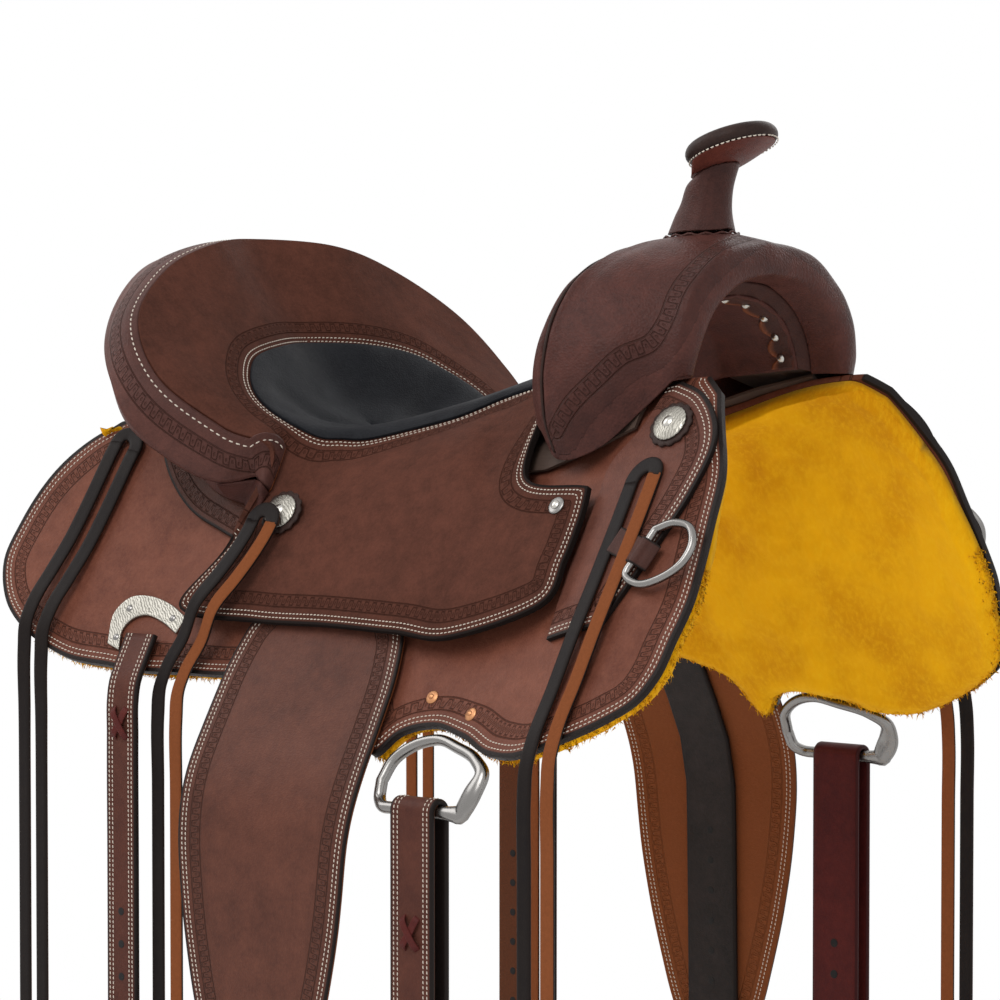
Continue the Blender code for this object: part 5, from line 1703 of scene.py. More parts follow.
    def back(self) -> None:
        """Make the leather behind the cantle."""
        t = np.linspace(0, 5 / 17, 60)
        deep = LAYERS.seat + self.board + self.back_thick
        rows = []
        for r, more in self.rows:
            here = Grid(self.seat.point(*np.meshgrid(t, [r - 0.01, r, r + 0.01], indexing="ij")))
            rows.append(here.lifted(-(deep + more))[:, 1])
        low = self.behind(t / t[-1])
        low[0, 1] = 0
        stack = np.stack(rows + [low], axis=1)
        at = np.linspace(0, 1, 30)
        points = np.stack([flowing_even(line, at) for line in stack])
        full = faced(np.concatenate([points[:0:-1] * (1, -1, 1), points]), inner=(0.0, 0.0, 0.08))
        item = full.shell("cantle_back_leather", 0.0, -self.back_thick * 0.9, SWELL_PLAIN, 0.0008)
        place_on(item, "saddle", "cantle_back")


@dataclass
class Jockeys:
    """The rear jockeys and the front leaves."""

    rear: Panel = field(default_factory=lambda: Panel(
        ((-0.222, 0.030), (-0.219, 0.078), (-0.206, 0.108), (-0.176, 0.122), (-0.146, 0.130), (-0.110, 0.130),
         (-0.078, 0.138)),
        ((-0.266, 0.030), (-0.258, 0.090), (-0.228, 0.138), (-0.188, 0.163), (-0.149, 0.174), (-0.110, 0.181),
         (-0.084, 0.178)), 90, 24, closed_ends=False))
    front: Panel = field(default_factory=lambda: Panel(
        ((0.252, 0.106), (0.242, 0.142), (0.226, 0.158), (0.2245, 0.190), (0.222, 0.240), (0.225, 0.300)),
        ((0.262, 0.108), (0.290, 0.130), (0.315, 0.178), (0.310, 0.214), (0.296, 0.252), (0.272, 0.306)), 90, 34))
    stitches: Sequence[float] = (0.0042, 0.0076)

    def build(self) -> None:
        """Make all four."""
        rear, front = self.rear.grid(LAYERS.rear), self.front.grid(LAYERS.front)
        for word, hand in HANDS:
            item = rear.on(hand).shell(f"rear_jockey_{word}_leather", LAYERS.jockey, 0.0, REAR_LEATHER)
            place_on(item, "saddle", f"rear_jockey_{word}")
            mine = front.on(hand)
            item = mine.shell(f"front_jockey_{word}_leather", LAYERS.jockey, 0.0, LEAF_LEATHER)
            place_on(item, "saddle", f"front_jockey_{word}")
            Stitching(f"front_jockey_{word}_thread").along(mine, self.stitches, LAYERS.jockey).finish()


@dataclass
class Swell:
    """The cover of the fork with its seam, its tooled band, the lining of the arch and the tacks."""

    rows: Sequence = field(default_factory=lambda: SWELL_ROWS)
    thick: float = 0.003
    band_path: Sequence = (
        (3.75, 1.0), (4.04, 0.863), (4.26, 0.669), (4.28, 0.532), (4.28, 0.420), (4.04, 0.311), (3.35, 0.294),
        (2.88, 0.247), (2.44, 0.197), (2.0, 0.11),
    )
    seam_path: Sequence = (
        (1.10, 0.80), (1.20, 0.73), (1.30, 0.662), (1.39, 0.538), (1.44, 0.441), (1.51, 0.365), (1.54, 0.274),
        (1.60, 0.197), (1.66, 0.094), (1.84, 0.02),
    )
    arch: Sequence = ((0.0, 0.1395), (0.030, 0.1345), (0.055, 0.121), (0.068, 0.102), (0.074, 0.084))
    lining_front: float = 0.2335
    lining_back: float = 0.125
    lip_front: float = 0.2365
    lip_back: float = 0.2205
    scallops: int = 9
    scallop_deep: float = 0.0090
    lip_out: float = -0.0027
    tack: Crown = Crown(0.0034, 0.0026)
    tack_out: float = -0.0034
    tack_x: float = 0.2215
    tacks: Sequence[float] = (-0.89, -0.665, -0.445, -0.22, 0.0, 0.22, 0.445, 0.665, 0.89)

    def grid(self, u: Array, v: Array) -> Array:
        """Points of the cover: u from the seat to inside the arch, v from the foot to the top.

        Args:
            u: the places along the cover, from 0 to 1.
            v: the places up it, from 0 to 1.

        Returns:
            A grid of points, with a row for each u.
        """
        rows = np.asarray(self.rows, float)
        up = np.stack([flowing_even(row, v) for row in rows])
        return np.stack([flowing_even(up[:, k], u) for k in range(len(v))], axis=1)

    def at(self, path: Sequence) -> Array:
        """Points of the cover at places (u, v)."""
        return np.array([self.grid(np.array([u / 7]), np.array([v]))[0, 0] for u, v in path])

    def build(self) -> None:
        """Make the cover, its seam, the lining and the tacks."""
        points = self.grid(np.linspace(0, 1, 150), np.linspace(1, 0, 90))
        line = flowing(self.at(self.band_path), np.linspace(0, 1, 160))
        near, run = border_fields(points, line)
        half = SWELL_LEATHER.band.width / 2
        edge = np.where(near < 0.02, self.beside(points, line) * near + half, 0.1)
        seam = flowing(self.at(self.seam_path), np.linspace(0, 1, 90))
        groove, _ = border_fields(points, seam)
        lift = 0.0008 * np.exp(-((groove - 0.0042) / 0.0022) ** 2) - 0.0016 * np.exp(-(groove / 0.0012) ** 2)
        joined = faced(points, edge, run, (0.2, 0.0, 0.08)).across_middle()
        lift = np.concatenate([lift[:, :0:-1], lift], 1)
        for i, j in np.ndindex(lift.shape):
            lift[i, j] += noise.noise(Vector(joined.points[i, j]) * 45) * 0.0005
        item = joined.shell("swell_cover_leather", lift, -self.thick, SWELL_LEATHER, 0.0010)
        place_on(item, "saddle", "swell_cover")
        for word, hand in HANDS:
            welt = tube(f"swell_seam_{word}", to_hand(seam, hand), 0.0011, CAP_LEATHER, sides=8)
            place_on(welt, "saddle")
        self.lining()

    @staticmethod
    def beside(points: Array, line: Array) -> Array:
        """On which side of a line each point lies, as 1 or -1.

        Args:
            points: a grid of points.
            line: the line's points in order.

        Returns:
            The signs.
        """
        flat = points.reshape(-1, 3)
        k = np.argmin(np.linalg.norm(flat[:, None] - line[None, ::4], axis=-1), axis=1) * 4
        ahead = line[np.minimum(k + 2, len(line) - 1)] - line[np.maximum(k - 2, 0)]
        out = flat - np.array((0.2, 0, 0.08))
        return np.sign((np.cross(ahead, flat - line[k]) * out).sum(-1)).reshape(points.shape[:2])

    def lining_row(self, x: float, out: float = 0.0) -> Array:
        """The lining's outer face at a station, from the middle to its left foot.

        Args:
            x: the station.
            out: how far out from the face.

        Returns:
            The row of points.
        """
        line = flowing_even(np.array([(x, y, z) for y, z in self.arch]), np.linspace(0, 1, 40))
        line[:, 2] -= 0.10 * (self.lining_front - x)
        ahead = np.gradient(line, axis=0)
        outward = np.stack([0 * ahead[:, 0], -ahead[:, 2], ahead[:, 1]], axis=1)
        outward[0] = (0, 0, 1)
        return line + out * unit(outward)

    def lining(self) -> None:
        """Make the lining of the arch, the raw scalloped edge of the cover over it and the tacks."""
        stations = np.linspace(self.lining_front, self.lining_back, 36)
        points = np.stack([self.lining_row(x) for x in stations])
        narrow = 1 - 0.55 * ease((0.165 - stations) / (0.165 - self.lining_back))[:, None, None]
        points[..., 1:] = (0, 0.05) + (points[..., 1:] - (0, 0.05)) * narrow
        grid = faced(np.concatenate([points[:, :0:-1] * (1, -1, 1), points], 1), inner=(0.21, 0.0, 0.05))
        place_on(grid.shell("gullet_lining_leather", 0.0, -0.002, SWELL_PLAIN, 0.0), "saddle", "gullet_lining")
        share = np.linspace(-1, 1, 220)
        wave = self.lip_back - self.scallop_deep * np.abs(np.sin(share * math.pi * self.scallops / 2)) ** 0.7
        lip = self.grid(np.array([1.0]), 1 - 0.98 * np.abs(share))[0]
        lip = lip * np.where(share < 0, -1, 1)[:, None] ** (0, 1, 0)
        rows = []
        for mix in np.linspace(0, 1, 12):
            lined = np.array([self.lined(s, self.lip_front * (1 - mix) + x * mix, self.lip_out)
                              for s, x in zip(share, wave)])
            joining = float(ease(np.array(mix / 0.4)))
            rows.append(lip * (1 - joining) + lined * joining)
        edge = np.repeat(np.linspace(0.006, 0, 12)[:, None], len(share), 1)
        flap = faced(np.array(rows), edge, inner=(0.21, 0.0, 0.05))
        place_on(flap.shell("gullet_scalloped_edge", 0.0007, -0.0007, GULLET_EDGE, 0.0), "saddle")
        for number, s in enumerate(self.tacks):
            at = self.lined(s, self.tack_x, self.tack_out)
            inward = unit(self.lined(s, self.tack_x, self.tack_out - 0.01) - at)
            place_on(dome(f"gullet_tack_{number}", at, inward, self.tack, TACK_METAL), "saddle")

    def lined(self, share: float, x: float, out: float) -> Array:
        """A point beside the lining: share from the right foot, -1, to the left foot, 1.

        Args:
            share: how far round the arch.
            x: the station.
            out: how far out from the lining.

        Returns:
            The point.
        """
        row = self.lining_row(x, out)
        at = abs(share) * 0.97 * (len(row) - 1)
        low = min(int(at), len(row) - 2)
        point = row[low] * (1 - (at - low)) + row[low + 1] * (at - low)
        return point * (1, -1 if share < 0 else 1, 1)


SWELL_ROWS: tuple = (
    ((0.1335, 0.112, 0.047), (0.137, 0.101, 0.062), (0.140, 0.084, 0.081), (0.144, 0.062, 0.102),
     (0.148, 0.034, 0.121), (0.150, 0, 0.130)),
    ((0.149, 0.124, 0.040), (0.154, 0.139, 0.069), (0.161, 0.139, 0.108), (0.167, 0.113, 0.144),
     (0.169, 0.059, 0.167), (0.169, 0, 0.175)),
    ((0.180, 0.139, 0.020), (0.183, 0.148, 0.060), (0.186, 0.140, 0.109), (0.190, 0.110, 0.152),
     (0.192, 0.054, 0.176), (0.192, 0, 0.184)),
    ((0.214, 0.134, 0.030), (0.216, 0.136, 0.070), (0.218, 0.126, 0.113), (0.220, 0.098, 0.152),
     (0.222, 0.049, 0.177), (0.222, 0, 0.185)),
    ((0.240, 0.116, 0.058), (0.242, 0.115, 0.089), (0.244, 0.108, 0.118), (0.246, 0.088, 0.149),
     (0.248, 0.047, 0.172), (0.248, 0, 0.180)),
    ((0.260, 0.107, 0.078), (0.263, 0.107, 0.096), (0.264, 0.101, 0.119), (0.264, 0.085, 0.143),
     (0.264, 0.050, 0.167), (0.264, 0, 0.175)),
    ((0.263, 0.090, 0.080), (0.265, 0.086, 0.098), (0.266, 0.077, 0.116), (0.266, 0.061, 0.134),
     (0.266, 0.034, 0.149), (0.266, 0, 0.154)),
    ((0.238, 0.084, 0.080), (0.238, 0.080, 0.098), (0.238, 0.072, 0.115), (0.238, 0.057, 0.131),
     (0.238, 0.031, 0.145), (0.238, 0, 0.149)),
)


@dataclass
class Horn:
    """The horn: wrapped neck, cap, stitched underside and the tooled collar at its foot."""

    swell: Swell
    centre: Sequence[float] = (0.227, 0.0, 0.250)
    tilt: float = 20.0
    profile: Sequence = (
        (0.0325, -0.0062), (0.0348, -0.0036), (0.0350, 0.0006), (0.0325, 0.0044), (0.0240, 0.0068),
        (0.0120, 0.0080), (0.0010, 0.0081),
    )
    rings: Sequence = (
        (0.1995, None, 0.0250), (0.2015, 0.1965, 0.0215), (0.2040, 0.2060, 0.0190), (0.2075, 0.2190, 0.0175),
    )
    sides: int = 64
    foot_lift: float = 0.0030
    drop: float = 0.0135
    slide: float = -0.0195
    under_radius: float = 0.0195
    under_reach: float = 0.0322
    under_rim: float = 0.0068
    sewn_radius: float = 0.0338
    sewn_up: float = -0.0066
    wall: float = 0.003

    def cap_point(self, across: float, left: float, up: float) -> Array:
        """A point in the cap's own tilted frame.

        Args:
            across: forward along the cap.
            left: to the horse's left.
            up: square to the cap.

        Returns:
            The point in space.
        """
        tilt = math.radians(self.tilt)
        along = np.array((math.cos(tilt), 0, math.sin(tilt)))
        axis = np.array((-math.sin(tilt), 0, math.cos(tilt)))
        return np.array(self.centre) + along * across + np.array((0, left, 0)) + axis * up

    def cap_ring(self, radius: float, up: float, slide: float = 0.0, sides: int = 64) -> list[Array]:
        """A circle in the cap's frame.

        Args:
            radius: its radius.
            up: how far up its middle lies.
            slide: how far forward it lies.
            sides: its number of points.

        Returns:
            Its points.
        """
        turns = np.linspace(0, 2 * math.pi, sides, endpoint=False)
        return [self.cap_point(slide + radius * math.cos(a), radius * math.sin(a), up) for a in turns]

    @staticmethod
    def over(tops: Array, x: float, y: float) -> float:
        """The height of the swell's top at a place, from points of it.

        Args:
            tops: the points.
            x: forward.
            y: to the left.

        Returns:
            The height.
        """
        d = (tops[:, 0] - x) ** 2 + (tops[:, 1] - abs(y)) ** 2
        near = np.argsort(d)[:4]
        return float(np.average(tops[near, 2], weights=1 / (d[near] + 1e-9)))

    def build(self) -> None:
        """Make the horn."""
        tops = self.swell.grid(np.linspace(0.6, 4.5, 160) / 7, np.linspace(0.7, 1, 90)).reshape(-1, 3)
        turns = np.linspace(0, 2 * math.pi, self.sides, endpoint=False)
        foot = self.neck(tops, turns)
        self.cap()
        self.collar(tops, turns, foot)

    def neck(self, tops: Array, turns: Array) -> Array:
        """Make the wrapped neck.

        Args:
            tops: points of the swell's top.
            turns: the angles round the neck.

        Returns:
            Its lowest ring.
        """
        keys = []
        for x, z, radius in self.rings:
            ring = []
            for a in turns:
                px, py = x + radius * math.cos(a), radius * math.sin(a)
                ring.append((px, py, self.over(tops, px, py) + self.foot_lift if z is None else z))
            keys.append(np.array(ring))
        keys.append(np.array(self.cap_ring(0.0170, -(self.drop + 0.0006), self.slide + 0.001)))
        stack = flowing_even(np.array(keys).reshape(len(keys), -1), np.linspace(0, 1, 40)).reshape(40, self.sides, 3)
        middle = stack.mean(1, keepdims=True)
        seam = np.exp(-(((turns - 5.2 + math.pi) % (2 * math.pi) - math.pi) / 0.10) ** 2)
        grown = middle + (stack - middle) * (1 + 0.035 * seam)[None, :, None]
        inner = middle + (stack - middle) * (1 - self.wall / np.linalg.norm(stack - middle, axis=-1, keepdims=True))
        rings = list(grown) + list(inner[::-1])
        place_on(loft("horn_neck_leather", rings, HORN_LEATHER, closed=True), "saddle", "horn_neck_wrap")
        return grown[0]

    def cap(self) -> None:
        """Make the cap, its underside and the row of stitches round it."""
        cap = flowing(np.array(self.profile), np.linspace(0, 1, 26))
        place_on(loft("horn_cap_leather_top", [self.cap_ring(r, h) for r, h in cap], CAP_LEATHER), "saddle",
                 "horn_cap_cover")
        under = [self.cap_ring(self.under_radius, -self.drop, self.slide)]
        for share in (0.15, 0.35, 0.6, 0.82, 0.94, 1.0):
            radius = self.under_radius + (self.under_reach - self.under_radius) * share
            height = -self.drop + (self.drop - self.under_rim) * share ** 1.35
            under.append(self.cap_ring(radius, height, self.slide * (1 - share)))
        place_on(loft("horn_cap_underside_leather", under, UNDER_CAP), "saddle", "horn_cap_underside")
        ring = self.cap_ring(self.sewn_radius, self.sewn_up, sides=96)
        row = np.array(ring + ring[:1])
        down = self.cap_point(0, 0, -1) - self.cap_point(0, 0, 0)
        Stitching("horn_thread", pitch=0.0042, radius=0.00058).row(row, np.repeat(down[None], len(row), 0)).finish()

    def collar(self, tops: Array, turns: Array, foot: Array) -> None:
        """Make the tooled collar.

        Args:
            tops: points of the swell's top.
            turns: the angles round the neck.
            foot: the neck's lowest ring.
        """
        foot = foot.mean(0) + (foot - foot.mean(0)) * 1.10
        for k, (x, y, _) in enumerate(foot):
            foot[k, 2] = self.over(tops, x, y) + 0.0006 + 0.0008 * math.sin(turns[k] * 14)
        place_on(tube("horn_collar_tooling", foot, 0.0010, HORN_LEATHER, closed=True, sides=8), "saddle")


@dataclass
class Hang:
    """The line on which the stirrup leathers and the fenders hang."""

    x: float = 0.004
    s: float = 0.148
    measured_at: float = 0.260
    slope: float = 60.3
    upright: float = 89.0
    start: float = 0.190
    end: float = 0.285
    bolt: float = 0.600
    strap_width: float = 0.050
    steps: int = 40

    def slope_at(self, q: Array) -> Array:
        """The slope in radians at lengths down the leathers."""
        turned = ease((q - self.start) / (self.end - self.start))
        return np.radians(self.slope + (self.upright - self.slope) * turned)

    def point(self, q: Array, x: Array | float = 0.0, off: Array | float = 0.0) -> Array:
        """A point of the left hanging leathers.

        Args:
            q: down their length, in metres.
            x: forward of their middle.
            off: out from the line.

        Returns:
            The points in space.
        """
        q, x, off = np.broadcast_arrays(*(np.asarray(v, float) for v in (q, x, off)))
        y, down, end = fallen(q, self.steps, self.slope_at)
        low, back, tilt = SIDE.point(self.x, self.measured_at), self.measured_at - self.s, math.radians(self.slope)
        top = low + np.array((0, -back * math.cos(tilt), back * math.sin(tilt)))
        return np.stack([self.x + x, top[1] + y + off * np.sin(end), top[2] + -down + off * np.cos(end)], -1)


HANG = Hang()


@dataclass
class Fenders:
    """The two fenders, tooled and double stitched, with rough inner faces."""

    q: Sequence[float] = (0.040, 0.070, 0.105, 0.150, 0.210, 0.260, 0.310, 0.360, 0.410, 0.445, 0.462)
    half: Sequence[float] = (0.034, 0.056, 0.079, 0.086, 0.087, 0.084, 0.079, 0.070, 0.057, 0.046, 0.038)
    stitches: Sequence[float] = (0.0046, 0.0082)

    def build(self) -> None:
        """Make both fenders."""
        q = np.linspace(self.q[0], self.q[-1], 150)
        half = through(self.q, self.half, q)
        places = np.stack([half[:, None] * np.linspace(-1, 1, 64)[None], np.repeat(q[:, None], 64, 1)], -1)
        border = np.vstack([places[:, 0], places[-1, 1:-1], places[::-1, -1]])
        edge, run = border_fields(places, border)
        off = LAYERS.strap + LAYERS.strap_thick + 2 * LAYERS.gap
        grid = faced(HANG.point(places[..., 1], places[..., 0], off), edge, run)
        for word, hand in HANDS:
            mine, body = grid.on(hand), f"fender_{word}_body"
            item = mine.shell(f"fender_{word}_leather", LAYERS.fender_thick, 0.0, FENDER_LEATHER)
            place_on(item, body, f"fender_{word}")
            Stitching(f"fender_{word}_thread", body).along(mine, self.stitches, LAYERS.fender_thick).finish()
            rough = Grid(mine.points, mine.edge, mine.run, -mine.outward)
            Stitching(f"fender_{word}_back_thread", body).along(rough, self.stitches, 0.0).finish()


@dataclass
class StirrupSet:
    """A stirrup leather with its hobble strap, the bolt, the stirrup and its tread."""

    word: str
    hand: int
    bolt_radius: float = 0.0048
    behind: float = 0.0024
    wrap_gap: float = 0.0005
    ply_gap: float = 0.0008
    hobble_gap: float = 0.0012
    hobble_lift: float = 0.066
    hobble_width: float = 0.022
    plies_meet: float = 0.040
    ply_end: float = 0.095
    top_half: float = 0.0310
    wall: float = 0.008
    path: Sequence = (
        (0.0310, 0.014), (0.0310, -0.012), (0.0350, -0.032), (0.0450, -0.058), (0.0560, -0.086), (0.0640, -0.112),
        (0.0660, -0.132), (0.0600, -0.147), (0.0440, -0.153), (0.0220, -0.1545), (0.0, -0.155),
    )
    widths: Sequence[float] = (0.030, 0.034, 0.040, 0.047, 0.053, 0.060, 0.064, 0.066, 0.068, 0.068, 0.068)
    first_hole: float = 0.300
    hole_pitch: float = 0.025
    hole_radius: float = 0.0030
    bolt_steps: Sequence = ((-0.5, 0.55), (-0.5, 0.80), (-0.465, 0.80), (-0.465, 0.98), (0.465, 0.98), (0.465, 0.80),
                            (0.5, 0.80), (0.5, 0.55))
    hobble_thick: float = 0.0016
    hobble_corner: float = 0.003
    hobble_margin: float = 0.002
    hobble_crown: float = 0.0002
    buckle_wire: float = 0.0011
    buckle_lift: float = 0.0016
    buckle_inset: float = 0.001
    buckle_half: float = 0.009
    tread_length: float = 0.040
    tread_width: float = 0.060
    tread_ribs: int = 7
    rib_top: float = 0.0008
    rib_deep: float = 0.0010

    @property
    def off(self) -> float:
        """How far out the bolt lies."""
        return LAYERS.strap + LAYERS.strap_thick / 2 - self.behind

    @property
    def centre(self) -> Array:
        """The middle of the bolt."""
        return to_hand(HANG.point(HANG.bolt, 0, self.off), self.hand)

    def build(self) -> None:
        """Make all of one side."""
        self.leather()
        self.hobble()
        self.bolt()
        self.stirrup()

    def leather(self) -> None:
        """Make the strap: down to the bolt, round it and up again, with its row of holes."""
        body = f"fender_{self.word}_body"
        thick, middle = LAYERS.strap_thick, LAYERS.strap + LAYERS.strap_thick / 2
        wrap = self.bolt_radius + self.wrap_gap + thick / 2
        back = 2 * self.off - middle
        path = [(q, middle) for q in (0.004, 0.010, 0.020, 0.04, 0.07, 0.10, 0.15)]
        path += [(q, middle) for q in np.linspace(HANG.start, 1.3 * HANG.end, 6)]
        path += [(HANG.bolt - up, middle) for up in (0.15, 0.07, self.plies_meet)]
        path += [(HANG.bolt - 0.022, middle + 0.0018), (HANG.bolt - 0.009, self.off + wrap - 0.0010)]
        path += [(HANG.bolt + wrap * math.sin(a), self.off + wrap * math.cos(a)) for a in np.linspace(0, math.pi, 12)]
        path += [(HANG.bolt - 0.009, self.off - wrap + 0.0010), (HANG.bolt - 0.022, back - 0.0018)]
        path += [(HANG.bolt - up, back) for up in (self.plies_meet, 0.07, self.ply_end)]
        path = np.array(path)
        width = np.full(len(path), HANG.strap_width)
        width[:3] = (0.018, 0.036, HANG.strap_width - 0.004)
        line = to_hand(HANG.point(path[:, 0], 0, path[:, 1]), self.hand)
        item = strap(f"stirrup_leather_{self.word}_strap", line, (1.0, 0, 0), width, thick, STRAP_BLACK)
        place_on(item, body, f"stirrup_leather_{self.word}")
        number = 0
        last = HANG.bolt - self.hobble_lift - self.hobble_width - 0.01
        for q in np.arange(self.first_hole, last, self.hole_pitch):
            for face in (1, -1):
                at = to_hand(HANG.point(q, 0, middle + face * thick / 2), self.hand)
                normal = to_hand(HANG.point(q, 0, 0.01) - HANG.point(q, 0, 0), self.hand) * face
                punch(f"stirrup_leather_{self.word}_hole_{number}", at, normal, self.hole_radius, body)
                number += 1

    def hobble(self) -> None:
        """Make the small strap round the two plies, with its steel buckle."""
        half_x = HANG.strap_width / 2 + self.hobble_gap
        half_off = LAYERS.strap_thick + self.ply_gap / 2 + self.hobble_gap
        corner, thick = self.hobble_corner, self.hobble_thick
        loop = []
        for cx, co, start in ((1, 1, 0), (-1, 1, 90), (-1, -1, 180), (1, -1, 270)):
            for angle in np.radians(start + np.linspace(0, 90, 7)):
                loop.append((cx * (half_x - corner) + corner * math.cos(angle),
                             co * (half_off - corner) + corner * math.sin(angle)))
        low = HANG.bolt - self.hobble_lift
        top = low - self.hobble_width
        rings, edges = [], []
        for k, place in enumerate(loop):
            tangent = np.array(loop[(k + 1) % len(loop)]) - np.array(loop[k - 1])
            out = np.array((tangent[1], -tangent[0])) / np.linalg.norm(tangent)
            a, b = np.array(place), np.array(place) + out * thick
            margin, crown = self.hobble_margin, b + out * self.hobble_crown
            corners = ((top, a, 0), (low, a, 0), (low, b, 0), (low - margin, crown, margin),
                       (top + margin, crown, margin), (top, b, 0))
            rings.append([to_hand(HANG.point(q, p[0], self.off + p[1]), self.hand) for q, p, _ in corners])
            edges.append([e for _, _, e in corners])
        item = loft(f"hobble_strap_{self.word}_leather", rings, STRAP_BLACK, closed=True,
                    values={"edge": np.array(edges).ravel()}, smooth=False)
        body = f"fender_{self.word}_body"
        place_on(item, body, f"hobble_strap_{self.word}")
        middle, reach = (top + low) / 2, half_off + thick + self.buckle_lift
        half = self.hobble_width / 2 - self.buckle_inset
        frame_line = [(middle + half * a, self.buckle_half * b) for a, b in
                      ((-1, -1), (-1, 0), (-1, 1), (0, 1.12), (1, 1), (1, 0), (1, -1), (0, -1.12))]
        points = np.array([to_hand(HANG.point(q, x, self.off + reach), self.hand) for q, x in frame_line])
        place_on(tube(f"hobble_buckle_{self.word}", points, self.buckle_wire, SHADED_STEEL, closed=True, sides=10), body)

    def bolt(self) -> None:
        """Make the bolt with the sleeve on which the leather turns."""
        length = 2 * (self.top_half - self.wall / 2 - 0.0004)
        rings = []
        for along, share in self.bolt_steps:
            rings.append([self.centre + (along * length, math.cos(a) * self.bolt_radius * share,
                                         math.sin(a) * self.bolt_radius * share)
                          for a in np.linspace(0, 2 * math.pi, 32, endpoint=False)])
        item = loft(f"stirrup_bolt_{self.word}_steel", rings, SHADED_STEEL, smooth=False)
        place_on(item, f"fender_{self.word}_body", f"stirrup_bolt_{self.word}")

    def stirrup(self) -> None:
        """Make the stirrup and the ribbed tread."""
        body = f"stirrup_{self.word}_body"
        half = [(x, z, w) for (x, z), w in zip(self.path, self.widths)]
        full = flowing(np.array(half + [(-x, z, w) for x, z, w in half[-2::-1]]), np.linspace(0, 1, 90))
        line = np.stack([full[:, 0], np.zeros(len(full)), full[:, 1]], -1) + self.centre
        item = strap(f"stirrup_{self.word}_wood", line, (0, 1.0, 0), full[:, 2], self.wall, STIRRUP_WOOD)
        place_on(item, body, f"stirrup_{self.word}")
        x = np.linspace(-self.tread_length / 2, self.tread_length / 2, 56)
        ribs = self.rib_top - self.rib_deep * (np.sin(x / self.tread_length * math.pi * 2 * self.tread_ribs) > 0.2)
        y = np.linspace(-self.tread_width / 2, self.tread_width / 2, 12)
        places = np.stack(np.meshgrid(x, y, indexing="ij"), -1)
        level = self.path[-1][1] + self.wall / 2 + 0.0016
        points = np.concatenate([places, np.full(places.shape[:2] + (1,), level)], -1) + self.centre
        high = np.repeat(ribs[:, None], len(y), 1)
        high[:, [0, -1]] = self.rib_top
        tread = Grid(points).shell(f"stirrup_tread_{self.word}_rubber", high, -0.001, RUBBER, 0.0)
        place_on(tread, body, f"stirrup_tread_{self.word}")


def sewn(thread: Stitching, path: Array, across: Array, width: Array | float, thick: float,
         insets: Sequence[float], out_sign: float = 1.0) -> Stitching:
    """Sew rows along both edges of a strap.

    Args:
        thread: what they are gathered in.
        path: the strap's middle line.
        across: the direction of its width.
        width: its width.
        thick: its thickness.
        insets: how far in from each edge the rows lie.
        out_sign: the face they lie on, as band has it.

    Returns:
        The stitching.
    """
    p = np.asarray(path, float)
    across = np.broadcast_to(np.asarray(across, float), p.shape)
    out = unit(np.cross(across, np.gradient(p, axis=0))) * out_sign
    half = np.broadcast_to(np.asarray(width, float), (len(p),))[:, None] / 2
    for inset in insets:
        for side_sign in (1, -1):
            thread.row(p + across * (half - inset) * side_sign + out * thick / 2, out)
    return thread


def on_side(x: float, s: float, off: float, hand: int) -> tuple[Array, Array]:
    """A place on the side and the direction out of it."""
    return to_hand(SIDE.point(x, s, off), hand), to_hand(SIDE.out(x, s, off), hand)


